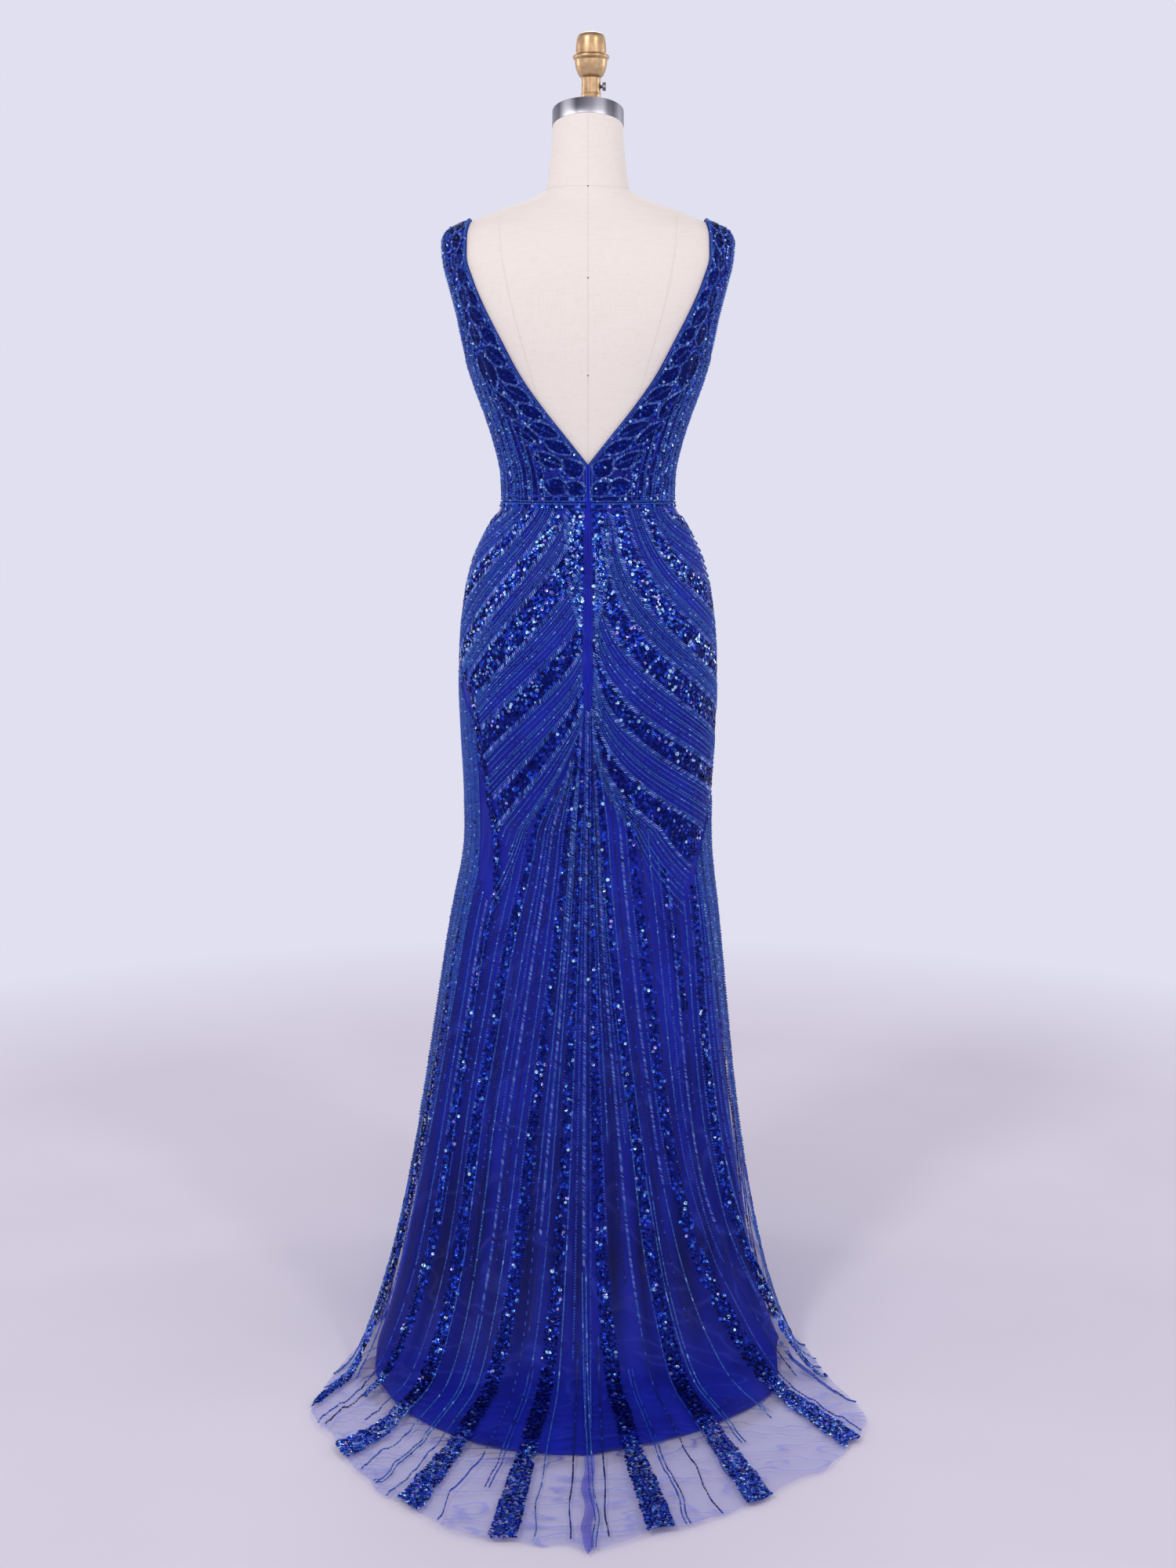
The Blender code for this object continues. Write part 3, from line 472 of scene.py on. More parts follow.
def fold_depth(folds, angle, z):
    """How far folds push the skirt in, at an angle from the centre back in degrees and a height."""
    pushed = np.zeros(np.broadcast(angle, z).shape)
    for centre, half_width, depth, top in folds:
        grown = np.clip((top - z) / top, 0, 1)
        pushed += depth * np.exp(-((wrapped(angle - centre) / half_width) ** 2)) * grown**FOLD_GROWTH
    return pushed


def bottoms(folds, half_width, depth):
    """The bottoms of the folds, where little light gets in."""
    return [(angle, min(width, half_width), depth, top) for angle, width, _, top in folds]


VALLEYS = bottoms(FOLDS, 2.4, 1.6)
# SHADES set where the satin and the net are painted darker, as painted shade in the bottoms of folds and creases.
SHADES = bottoms(FOLDS + CREASES, 3.4, 1.0)
print("folds:", len(FOLDS), "creases:", len(CREASES))


# %% One rib, from the waist to the hem
def sheath_point(angle, z, clear):
    """A point on the straight part of the skirt, at an angle in degrees from the centre back."""
    return off_body(np.radians(angle) - math.pi / 2, z, clear)


def flat_distance(across, up):
    return np.append(0.0, np.cumsum(np.hypot(np.diff(across), np.diff(up))))


def rib_profile(angle):
    """One rib of the unfolded tulle from knee to hem, as points close together."""
    knee = sheath_point(angle, KNEE_Z, TULLE_CLEAR)
    hem = np.array([math.copysign(hem_size("x", angle), angle), hem_size("y", angle)])
    run = np.linalg.norm(hem - knee[:2])
    touch = run * hem_size("touch", angle)
    drop = np.linspace(0, 1, PROFILE_STEPS)
    turned_out = 1 - np.exp(-((drop * KNEE_Z / FLARE_EASE) ** 2))
    out = touch * (1 - (1 - drop) ** (1 / hem_size("sweep", angle))) * turned_out
    z = KNEE_Z * (1 - drop)
    if touch < HANGS_TO_HEM * run:
        out = np.append(out, np.linspace(touch, run, PROFILE_STEPS)[1:])
        z = np.append(z, np.zeros(PROFILE_STEPS - 1))
    length = flat_distance(out, z)
    return knee, (hem - knee[:2]) / run, out, z, length, np.interp(run * hem_size("lining_end", angle), out, length)


def flare_rib(angle, lined_rows, sheer_rows, is_tulle):
    """Points down one rib of the flare, from below the knee to the hem of the tulle or of its lining."""
    knee, heading, out, z, length, lined = rib_profile(angle)
    stops = lined * lined_rows
    if is_tulle:
        stops = np.append(stops, lined + (length[-1] - lined) * sheer_rows)
    out, z = np.interp(stops, length, out), np.interp(stops, length, z)
    lower = 1 - z / KNEE_Z
    train = np.clip((1 - hem_size("touch", angle)) / TRAIN_SHARE, 0, 1)
    settled = 1 - train * (1 - np.clip(z / TRAIN_FADE, 0, 1))
    # On the floor a fold can't go down, so it stands up as a low ridge.
    ridges = RIDGE_SHARE * fold_depth(FOLDS + CREASES, angle, z) * (1 - settled)
    folds, creases = fold_depth(FOLDS, angle, z), fold_depth(CREASES, angle, z)
    if is_tulle:
        lift = TULLE_FLOAT * np.clip(1 - z / TRAIN_FADE, 0, 1) * (stops <= lined)
        out = out - (folds * settled + creases * (TRAIN_CREASE_SHARE + (1 - TRAIN_CREASE_SHARE) * settled))
        z = z + lift + ridges
    else:
        inwards = (folds * LINING_FOLD_SHARE + creases) * settled
        out = out - LINING_SLACK * lower**LINING_SLACK_GROWTH - (TULLE_CLEAR - LINING_CLEAR) - inwards
        z = np.maximum(z - LINING_SAG * lower**LINING_SAG_GROWTH, 0.0) + LINING_RIDGE_SHARE * ridges
    return np.stack([knee[0] + heading[0] * out, knee[1] + heading[1] * out, z], axis=-1)


print("from knee to hem down the train, in metres:", round(float(rib_profile(0)[4][-1]), 3))

# %% The whole skirt as one surface
# A row number is 0 at the waist, 1 at the knee, 2 over the lining's hem and 3 at the tulle's hem. A column
# number is the angle from the centre back.
SHEATH_ROWS, LINED_ROWS, SHEER_ROWS = 52, 76, 24
SKIRT_TOP_Z = WAIST_Z - SEAM_GAP / 2
NET_REST_Z, LINING_REST_Z = 0.0012, 0.0008


def skirt_surface(columns, is_tulle):
    sheath = np.linspace(0, 1, SHEATH_ROWS, endpoint=False)
    lined = np.linspace(0, 1, LINED_ROWS)
    sheer = np.linspace(0, 1, SHEER_ROWS + 1)[1:]
    clear, thick, rest_z = LINING_CLEAR, LINING_THICK, LINING_REST_Z
    if is_tulle:
        clear, thick, rest_z = TULLE_CLEAR, TULLE_THICK, NET_REST_Z
    heights = SKIRT_TOP_Z - sheath[:, None] * (SKIRT_TOP_Z - KNEE_Z)
    upper = sheath_point(columns[None, :], heights, clear)
    lower = np.stack([flare_rib(angle, lined, sheer, is_tulle) for angle in columns], axis=1)
    rows = np.concatenate([sheath, 1 + lined] + [2 + sheer] * is_tulle)
    surface = Surface(rows, columns, np.concatenate([upper, lower]))
    surface.points += surface.normals * thick
    surface.points[..., 2] = np.maximum(surface.points[..., 2], rest_z)
    surface.points[0, :, 2] = SKIRT_TOP_Z
    return surface


skirt = skirt_surface(np.linspace(-180, 180, 321), True)
lining = skirt_surface(np.linspace(-180, 180, 181), False)
print("skirt grid:", skirt.points.shape, "lining grid:", lining.points.shape)

# %% Ripples and a wandering edge on the train
RIPPLE_HEIGHT, RIPPLES = 0.0028, 17
RIPPLED_TO, RIPPLES_FADE = 50, 20
EDGE_WAVES = ((0.0032, 19, 1), (0.0026, 31, 0), (0.0016, 57, 2))

# The loose net lies on the floor in shallow ripples that run round the train.
past_lining, turn = skirt.rows[:, None] - 2, skirt.columns[None, :]
net = np.clip(past_lining * 3, 0, 1) * np.clip(1 - (np.abs(turn) - RIPPLED_TO) / RIPPLES_FADE, 0, 1)
wave = np.sin(past_lining * RIPPLES + 1.3 * np.sin(np.radians(turn * 5)) + np.radians(turn * 3))
skirt.points[..., 2] += RIPPLE_HEIGHT * net * np.clip(wave, 0, 1) ** 2

# Its cut edge isn't even: it wanders in and out by a few millimetres.
edge = np.clip(past_lining * 2 - 1, 0, 1) ** 2
wander = sum(size * np.sin(np.radians(turn) * often + start) for size, often, start in EDGE_WAVES)
skirt.points[..., :2] += (edge * wander)[..., None] * unit(skirt.points[-1, :, :2])[None]
skirt = Surface(skirt.rows, skirt.columns, skirt.points)
print("hem length in metres:", cut_size(skirt.points)[0][0])

# %% [markdown]
# ## Cloth finishes
#
# The lining is a plain polyester satin: a filament weave with a soft shine and a little sheen at grazing angles.
# Tulle is a hexagonal net of nylon thread. Its holes are about 1 mm wide, too fine to show from here, so the net
# is a thin see-through film of the thread's colour: about a third of it is thread. On the bodice the net is
# mounted on the lining, so there the two look like one closed cloth.

# %% Woven and netted cloth
# A satin thread is about 0.1 mm thick, a twill's 0.3 mm, and a net's holes are 1 mm wide. They are drawn coarser
# here, so that the weave shows close up.
SATIN_THREAD, TWILL_THREAD, MOUNTED_NET, LOOSE_NET = 0.0009, 0.0008, 0.0016, 0.0020
BANDS = 20  # a Wave texture has about this many bands to a metre, at a scale of 1
# The mesh's names for where a cloth gets painted shade in its folds, and where the net gets painted light from the
# floor.
PAINTED_FOLD_SHADE, PAINTED_FLOOR_LIGHT = "painted_fold_shade", "painted_floor_light"


def woven(name, spacing, depth, patch, dark, light, tints=(), **sockets):
    """A cloth with a weave's bump, and a shade that varies over a patch of it as dyed cloth has.

    Each tint is a painted shade or light: a colour the cloth turns to where its mesh says so, and the mesh's name
    for that.
    """
    made, tree, shader, place = new_material(name, **sockets)
    threads = add_node(
        tree, "TexWave", {"Scale": 1 / (spacing * BANDS), "Distortion": 1.5, "Detail": 2.0},
        {"Vector": place}, bands_direction="DIAGONAL",
    )
    bump = add_node(tree, "Bump", {"Strength": 0.35, "Distance": depth}, {"Height": (threads, "Fac")})
    dyed = add_node(tree, "TexNoise", {"Scale": 1 / patch, "Detail": 3.0}, {"Vector": place})
    shade = add_node(tree, "ValToRGB", links={"Fac": (dyed, "Fac")}, stops=((0.35, dark), (0.68, light)))
    for where, tint in tints:
        there = add_node(tree, "Attribute", attribute_name=where)
        shade = add_node(
            tree, "MixRGB", {"Color2": from_hex(tint)}, {"Fac": (there, "Fac"), "Color1": (shade, "Color")}
        )
    set_node(shader, links={"Base Color": (shade, "Color"), "Normal": (bump, "Normal")})
    return made, tree, shader, place


# Filament satin: smooth and closed, with a soft shine. In folds it is painted nearly navy, as painted shade.
satin = woven(
    "satin_lining", SATIN_THREAD, 0.00008, 0.09, "#141c9a", "#202cc6", [(PAINTED_FOLD_SHADE, "#080d4c")],
    Roughness=0.45, Specular_IOR_Level=0.12,
)[0]
# Net mounted on lining: one closed, duller and darker cloth between the beads.
bodice_cloth = woven(
    "net_on_lining", MOUNTED_NET, 0.00012, 0.05, "#131a78", "#1b2492", Roughness=0.60, Specular_IOR_Level=0.12
)[0]
# Twill tape: matt and dark behind the slit of the zip.
tape_cloth = woven("zip_tape_twill", TWILL_THREAD, 0.0001, 0.03, "#10175f", "#18217c", Roughness=0.75)[0]
# A seam in the net has four layers on each other, which close it nearly up.
seam_net = woven(
    "nylon_net_seam", LOOSE_NET, 0.00015, 0.03, "#3c38b8", "#5654d0",
    Roughness=0.55, Specular_IOR_Level=0.2, Alpha=0.55,
)[0]
print("cloths:", [finish.name for finish in (satin, bodice_cloth, tape_cloth, seam_net)])

# %% The loose net
# Loose nylon net: a blue haze. Below the lining's hem its threads are painted lighter, a painted light for the light
# that also comes up through it from the pale floor, and in the folds they are painted darker, as painted shade.
# Where it is creased it lies double, so more of it is thread: thin lines that wander.
NET_COVER, CREASED_COVER = 0.28, 0.42
# The thin lines run like the contours of soft lumps, which are about 0.1 m across.
CREASES_STRETCH, CREASES_SCALE, LINES_TO_A_LUMP, LINE_WIDTH = (0.55, 1.6, 0.4), 9.0, 9.0, 0.13
net_cloth, tree, shader, place = woven(
    "nylon_net", LOOSE_NET, 0.00015, 0.06, "#131f92", "#2032b0", [(PAINTED_FOLD_SHADE, "#080c48"), (PAINTED_FLOOR_LIGHT, "#8a90e0")],
    Roughness=0.55, Specular_IOR_Level=0.25,
)
drawn_out = add_node(tree, "VectorMath", {1: CREASES_STRETCH}, {0: place}, operation="MULTIPLY")
drift = add_node(tree, "TexNoise", {"Scale": CREASES_SCALE, "Detail": 2.5}, {"Vector": (drawn_out, 0)})
level = add_node(tree, "Math", {1: LINES_TO_A_LUMP}, {0: (drift, "Fac")}, operation="MULTIPLY")
nearest = add_node(tree, "Math", {1: 0.5}, {0: (level, 0)}, operation="PINGPONG")
cover = add_node(
    tree, "MapRange",
    {"From Min": 0.0, "From Max": LINE_WIDTH, "To Min": NET_COVER + CREASED_COVER, "To Max": NET_COVER},
    {"Value": (nearest, 0)},
)
set_node(shader, links={"Alpha": (cover, "Result")})
print("nodes in the net's material:", len(tree.nodes))

# %% [markdown]
# ## Skirt and lining panels
#
# Each panel is a slice of its grid between two seams: left back, right back and front. The front has no seam of
# its own. The lining has a turned hem, so its sheet gets a little thickness, which shows through the net.

# %% The panels
PANELS = (("back_left", -90, 0, 96), ("back_right", 0, 90, 96), ("front", 90, 270, 150))
LAYERS = (("skirt", "net", skirt, net_cloth, 1, 0.0), ("lining", "satin", lining, satin, 2, 0.0008))
# The painted shade in folds, less where they lie flat on the floor, and how fast painted light comes in past the
# hem.
FLAT_SHADE, SHADE_DEPTH, SHADE_CURVE, DARKEST = 0.10, 1.4, 1.2, 0.95
UNLINED_GROWTH = 12


def slice_of(surface, low, high, columns):
    """The points of a surface between two angles, each edge pulled back by half a seam gap."""
    angles = np.linspace(low, high, columns)
    # an edge on the wrap is read from the side that its panel is on
    turned = np.where(angles > 180, angles - 360, angles)
    points = surface.at(surface.rows[:, None], turned[None, :])[0]
    across = unit(np.gradient(points, axis=1))
    points[:, 0] += across[:, 0] * SEAM_GAP / 2
    points[:, -1] -= across[:, -1] * SEAM_GAP / 2
    return points


sheets = {}
for panel, low, high, columns in PANELS:
    for layer, stuff, surface, finish, coarser, thick in LAYERS:
        name = f"{layer}_{panel}"
        grid = slice_of(surface, low, high, columns // coarser)
        made = cloth(f"{name}_{stuff}", grid, finish, thick)
        sheets[name] = made, grid
        # how deep in a fold each point lies, for the cloth's painted shade, and whether it is past the lining's hem,
        # for the net's painted light
        around, z = np.linspace(low, high, grid.shape[1])[None, :], grid[..., 2]
        flattened = FLAT_SHADE + (1 - FLAT_SHADE) * np.clip(z / TRAIN_FADE, 0, 1)
        shut_in = fold_depth(SHADES, around, z) ** SHADE_CURVE
        painted_fold_shade = np.clip(SHADE_DEPTH * shut_in * flattened, 0, DARKEST)
        past_hem = np.clip(surface.rows[:, None] * UNLINED_GROWTH - 2 * UNLINED_GROWTH, 0, 1)
        loose = np.broadcast_to(past_hem, painted_fold_shade.shape)
        for where, values in ((PAINTED_FOLD_SHADE, painted_fold_shade), (PAINTED_FLOOR_LIGHT, loose)):
            stored = made.data.attributes.new(where, "FLOAT", "POINT").data
            stored.foreach_set("value", np.ascontiguousarray(values, dtype=np.float32).ravel())
        print(name, "is cut from", cut_size(grid))

# %% [markdown]
# ## The bodice
#
# Each quarter runs from its neckline to the side seam, and up over the shoulder as a strap. Its grid has its
# rows along the neckline's edge. A V neckline is a bias edge, so it lies flat and close to the form.

# %% The necklines
# Each height on a neckline has its distance from the centre line.
BACK_NECKLINE = table(
    "z x",
    (1.165, 0.0000), (1.200, 0.0278), (1.238, 0.0580), (1.279, 0.0870), (1.325, 0.1120), (1.372, 0.1360),
    (1.403, 0.1490), (1.435, 0.1580), (1.460, 0.1580), (1.484, 0.1540),
)
FRONT_NECKLINE = table(
    "z x",
    (1.245, 0.0000), (1.283, 0.0280), (1.323, 0.0590), (1.363, 0.0910), (1.403, 0.1210), (1.433, 0.1410),
    (1.460, 0.1520), (1.484, 0.1540),
)
BODICE_ROWS_Z = (
    WAIST_Z + SEAM_GAP / 2, 1.138, 1.165, 1.190, 1.214, 1.240, 1.268, 1.296, 1.326, 1.356,
    1.384, 1.410, 1.432, 1.450, 1.4625, 1.4715, 1.4778, 1.4816, 1.4834, SHOULDER_Z,
)
BODICE_ROWS, BODICE_COLUMNS = 96, 30
SLOPE_FROM_Z = 1.455


def shoulder_height(x):
    heights = np.linspace(SLOPE_FROM_Z, NECK_BASE_Z, 1500)
    return np.interp(x, body_size("half_width", heights)[::-1], heights[::-1])


def angle_from_side(x, z):
    share = np.clip(x / body_size("half_width", z), 0, 1)
    return np.arccos(share ** (body_size("square", z) / 2))


def up_from_underarm(z, top):
    return np.clip((z - UNDERARM_Z) / (top - UNDERARM_Z), 0, 1)


def armhole_x(z):
    share = up_from_underarm(z, shoulder_height(STRAP_OUTER_X))
    return body_size("half_width", z) * (1 - ARMHOLE_BITE * np.sin(math.pi * share) ** ARMHOLE_ROUND)


print("the V is", round(SHOULDER_Z - BACK_NECKLINE["z"][0], 3), "m deep at the back")


# %% One quarter of the bodice
# A row number is 0 at the shoulder and 1 at the waist. A column number is 0 at the neckline or centre and 1 at
# the armhole or side seam, and negative where the panel is a mirror image, so that all panels face out.
def on_side(side, from_side):
    """The angle round the body that is from_side away from the left (-1) or right (1) side."""
    return from_side if side > 0 else math.pi - from_side


def bodice_surface(side, face, neckline):
    """One quarter of the bodice. side is -1 for left and 1 for right; face is -1 for back and 1 for front."""
    across = np.linspace(0, 1, BODICE_COLUMNS)
    strap_x = STRAP_INNER_X + (STRAP_OUTER_X - STRAP_INNER_X) * across
    slope = shoulder_height(strap_x) - shoulder_height(STRAP_INNER_X)
    count = np.linspace(0, 1, len(BODICE_ROWS_Z))
    angles, heights = [], []
    for edge_z in np.interp(np.linspace(0, 1, BODICE_ROWS), count, BODICE_ROWS_Z):
        rise = up_from_underarm(edge_z, SHOULDER_Z)
        z = edge_z + slope * eased(rise)
        inner_x = smooth_through(neckline["z"], neckline["x"], z[0]) if z[0] >= neckline["z"][0] else 0.0
        outer_x = armhole_x(z[-1])
        straight = angle_from_side(inner_x + (outer_x - inner_x) * across, z)
        start, end = angle_from_side(inner_x, z[0]), angle_from_side(outer_x, z[-1])
        bent = start + (end - start) * across
        angles.append(bent + (straight - bent) * math.sqrt(rise))
        heights.append(z)
    angle, z = np.array(angles), np.array(heights)
    angle[-1] = 0.0
    turn = on_side(side, angle * face)
    near_shoulder = up_from_underarm(z, SHOULDER_Z)[..., None]
    clear = LINING_CLEAR + (STRAP_CLEAR - LINING_CLEAR) * near_shoulder
    if face > 0:
        clear = clear + BUST_CLEAR * np.exp(-(((z[..., None] - BUST_Z) / BUST_CLEAR_SPREAD_Z) ** 2))
    points = off_body(turn, z, clear + BODICE_THICK)
    points[-1, :, 1] = face * SEAM_GAP / 2
    points[z[:, 0] <= neckline["z"][0], 0, 0] = side * SEAM_GAP / 2
    points[z[:, -1] <= UNDERARM_Z, -1, 1] = face * SEAM_GAP / 2
    points = points[::-1]
    if side * face > 0:
        points, across = points[:, ::-1], -across[::-1]
    return Surface(np.linspace(0, 1, BODICE_ROWS), across, points)


QUARTERS = (
    ("back_left", -1, -1, BACK_NECKLINE),
    ("back_right", 1, -1, BACK_NECKLINE),
    ("front_left", -1, 1, FRONT_NECKLINE),
    ("front_right", 1, 1, FRONT_NECKLINE),
)
bodice = {}
for name, side, face, neckline in QUARTERS:
    surface = bodice_surface(side, face, neckline)
    bodice[name] = surface, (-1 if side * face > 0 else 1)
    made = cloth(f"bodice_{name}_net", surface.points, bodice_cloth, BODICE_THICK)
    sheets[f"bodice_{name}"] = made, surface.points
    print("bodice", name, "is cut from", cut_size(surface.points))

# %% [markdown]
# ## The concealed zip
#
# A concealed zip hides its coil behind two folded edges of cloth that meet in the centre back. From outside
# there is only a fine dark slit. The tape inside is one strip, and the two folded edges are slim rolls of
# lining on either side of the slit. No pull shows, so none is made.

# %% Tape and folded edges
ZIP_TOP_Z, ZIP_BOTTOM_Z, ZIP_WIDTH, ZIP_THICK = 1.165, 0.880, 0.024, 0.0010
ROLL_RADIUS, ROLL_SUNK = 0.0011, 0.4
SLIT_HALF, SLIT_WANDER = 0.0013, 0.25
ROLL_SIDES, SLIT_WAVES = 8, 90


def back_strip(xs, heights, lift):
    """A grid on the form's back: a row for each height and a column for each distance from the centre."""
    across, z = np.meshgrid(np.asarray(xs, float), heights)
    from_side = angle_from_side(np.abs(across), z)
    turn = np.where(across >= 0, -from_side, math.pi + from_side)
    return off_body(turn, z, lift)


def joined(parts):
    """Several lists of points and faces as one."""
    starts = np.cumsum([0] + [len(points) for points, _ in parts[:-1]])
    faces = [faces + start for (_, faces), start in zip(parts, starts)]
    return np.concatenate([points for points, _ in parts]), np.concatenate(faces)


def tube(points, ups, radius):
    """The points and four-cornered faces of a round tube along a line."""
    along = unit(np.gradient(points, axis=0))
    aside = unit(np.cross(along, ups))
    up = np.cross(aside, along)
    turn = np.linspace(0, 2 * math.pi, ROLL_SIDES, endpoint=False)[None, :, None]
    rings = points[:, None] + (np.cos(turn) * aside[:, None] + np.sin(turn) * up[:, None]) * radius
    index = np.arange(len(points) * ROLL_SIDES).reshape(-1, ROLL_SIDES)
    return rings.reshape(-1, 3), quads(np.column_stack([index, index[:, 0]]))


zip_heights = np.linspace(ZIP_TOP_Z, ZIP_BOTTOM_Z, 80)
tape_grid = back_strip(np.linspace(-ZIP_WIDTH / 2, ZIP_WIDTH / 2, 13), zip_heights, SEAM_GAP + ZIP_THICK)
sheets["zip_tape"] = cloth("zip_tape_twill", tape_grid, tape_cloth, ZIP_THICK), tape_grid

rolls = []
for side in (-1, 1):
    line = back_strip([side * SLIT_HALF], zip_heights, TULLE_CLEAR + TULLE_THICK - ROLL_RADIUS * ROLL_SUNK)[:, 0]
    line[:, 0] = side * SLIT_HALF * (1 + SLIT_WANDER * np.sin(zip_heights * SLIT_WAVES + side))
    rolls.append(tube(line, np.tile([0.0, -1.0, 0.0], (len(line), 1)), ROLL_RADIUS))
zip_rolls = show(mesh_from_arrays("zip_folded_edges", *joined(rolls)), satin)
print("zip length in metres:", round(ZIP_TOP_Z - ZIP_BOTTOM_Z, 3))

# %% [markdown]
# ## The dress form
#
# The form is a padded shell with a cover of plain cream linen, cut in panels with a seam down the centre back,
# a princess seam on each side and one round the base of the neck. A loft through the body's sections makes the
# cover, and each seam is a thin ribbon of slightly darker, pressed cloth. Linen has slubs: threads that thicken
# here and there. Three steel pins mark the centre back.

# %% The linen
LINEN_THREAD = 0.0012  # a linen thread is about 0.5 mm; drawn coarser so that it shows
ALONG_AND_ACROSS = ((1.0, 1.0, 0.06), (0.06, 0.06, 1.0))


def linen_material(name, dark, light):
    """Woven linen: matt, with a faint grid of thick and thin threads."""
    made, tree, shader, place = new_material(name, Roughness=0.88, Sheen_Weight=0.15)
    threads = []
    for stretch in ALONG_AND_ACROSS:
        drawn_out = add_node(tree, "VectorMath", {1: stretch}, {0: place}, operation="MULTIPLY")
        slubs = add_node(tree, "TexNoise", {"Scale": 1 / LINEN_THREAD, "Detail": 1.0}, {"Vector": (drawn_out, 0)})
        threads.append((slubs, "Fac"))
    grid = add_node(tree, "Math", links=dict(enumerate(threads)), operation="ADD")
    shade = add_node(tree, "ValToRGB", links={"Fac": (grid, 0)}, stops=((0.70, dark), (1.0, light)))
    bump = add_node(tree, "Bump", {"Strength": 0.08, "Distance": 0.0002}, {"Height": (grid, 0)})
    set_node(shader, links={"Base Color": (shade, "Color"), "Normal": (bump, "Normal")})
    return made


linen = linen_material("woven_linen", "#ebdfd2", "#f0e5d9")
seam_linen = linen_material("pressed_seam", "#e2d5c9", "#eadfd3")
print("linens:", linen.name, "and", seam_linen.name)

# %% The form's cover
FORM_BOTTOM_Z, FORM_EDGE_ROUND, FORM_EDGE_SHARE = 0.765, 0.008, 0.95
NECK_TOP_Z, NECK_TOP_RADIUS, NECK_TILT = 1.6060, 0.0468, math.radians(15)
NECK_FLARE = 1.6
FORM_SIDES = 144
FORM_HEIGHTS = (*np.linspace(FORM_BOTTOM_Z + FORM_EDGE_ROUND, 1.44, 90), *np.linspace(1.4425, NECK_BASE_Z, 34))


def neck_top_z(y, lift=0.0):
    return NECK_TOP_Z + lift / math.cos(NECK_TILT) - y * math.tan(NECK_TILT)


def neck_ring(share, turn):
    """A ring of the neck, from its base at share 0 to its sloping top at share 1."""
    base = body_point(turn, NECK_BASE_Z)
    top = np.stack([NECK_TOP_RADIUS * np.cos(turn), NECK_TOP_RADIUS * np.sin(turn)], axis=-1)
    top = np.column_stack([top, neck_top_z(top[:, 1])])
    ring = base + (top - base) * (1 - (1 - share) ** NECK_FLARE)
    ring[:, 2] = base[:, 2] + (top[:, 2] - base[:, 2]) * share
    return ring


def finished(bm, name):
    """The mesh that a bmesh holds."""
    mesh = bpy.data.meshes.new(name)
    bm.to_mesh(mesh)
    bm.free()
    return mesh


turn = np.linspace(0, 2 * math.pi, FORM_SIDES, endpoint=False)
rings = [body_point(turn, FORM_BOTTOM_Z) * np.array([FORM_EDGE_SHARE, FORM_EDGE_SHARE, 1.0])]
rings += [body_point(turn, z) for z in FORM_HEIGHTS]
rings += [neck_ring(share, turn) for share in np.linspace(0, 1, 19)[1:]]
bm = bmesh.new()
loops = [[bm.verts.new(point) for point in ring] for ring in rings]
for below, above in zip(loops, loops[1:]):
    for i in range(FORM_SIDES):
        bm.faces.new((below[i - 1], below[i], above[i], above[i - 1]))
bm.faces.new(loops[0][::-1])
bm.faces.new(loops[-1])
form_cover = show(finished(bm, "form_cover"), linen, sharp=50)
print("form faces:", len(form_cover.data.polygons))

# %% Seams on the form
SEAM_WIDTH, SEAM_LIFT = 0.0011, 0.00015
SEAM_BOTTOM_Z = 1.125
# Each height on a princess seam has its distance from the centre line.
PRINCESS = table(
    "z x",
    (1.120, 0.045), (1.180, 0.052), (1.250, 0.066), (1.320, 0.086), (1.390, 0.104), (1.450, 0.114), (1.497, 0.117),
)


def ribbon(line, ups, width):
    """A flat ribbon along a line, lying on the surface that ups point away from."""
    aside = unit(np.cross(unit(np.gradient(line, axis=0)), ups)) * width / 2
    points = np.stack([line - aside, line, line + aside], axis=1)
    return points.reshape(-1, 3), quads(np.arange(len(line) * 3).reshape(-1, 3))


def on_body(turn, z):
    return body_point(turn, z), body_normal(turn, z)


seams = []
for face in (-1, 1):
    heights = np.linspace(SEAM_BOTTOM_Z, NECK_BASE_Z, 90)
    centre = face * math.pi / 2
    seams.append(on_body(np.full(90, centre), heights))
    neck = np.stack([neck_ring(share, np.array([centre]))[0] for share in np.linspace(0.02, 1, 16)])
    seams.append((neck, np.tile([0.0, face, 0.15], (16, 1))))
    for side in (-1, 1):
        heights = np.linspace(PRINCESS["z"][0], PRINCESS["z"][-1], 70)
        from_side = angle_from_side(smooth_through(*PRINCESS.values(), heights), heights)
        seams.append(on_body(on_side(side, face * from_side), heights))
round_neck = np.linspace(0, 2 * math.pi, 97)
seams.append((body_point(round_neck, NECK_BASE_Z - 0.0004), body_normal(round_neck, NECK_BASE_Z - 0.0010)))
parts = [ribbon(line + unit(ups) * SEAM_LIFT, unit(ups), SEAM_WIDTH) for line, ups in seams]
form_seams = show(mesh_from_arrays("form_seams", *joined(parts)), seam_linen)
print("seams on the form:", len(seams))

# %% Pins on the form
PIN_HEIGHTS = (1.5245, 1.404, 1.280)
PIN_RADIUS, PIN_FLATNESS = 0.0013, 0.45
PIN_SPECKS = 900.0  # to the metre: worn spots about 1 mm wide

# Polished pin steel: small dark mirrors, a little worn.
pin_steel, tree, shader, place = new_material("polished_pin_steel", Metallic=1.0, Base_Color=from_hex("#8f8d92"))
speck = add_node(tree, "TexNoise", {"Scale": PIN_SPECKS}, {"Vector": place})
worn = add_node(tree, "MapRange", {"To Min": 0.18, "To Max": 0.42}, {"Value": (speck, "Fac")})
set_node(shader, links={"Roughness": (worn, "Result")})

bm = bmesh.new()
for height in PIN_HEIGHTS:
    head = bmesh.ops.create_uvsphere(bm, u_segments=10, v_segments=6, radius=PIN_RADIUS)["verts"]
    pin_place = body_point(-math.pi / 2, height)
    for vert in head:
        vert.co.y *= PIN_FLATNESS
        vert.co += type(vert.co)(pin_place)
form_pins = show(finished(bm, "form_pins"), pin_steel)
print("pins:", len(PIN_HEIGHTS))
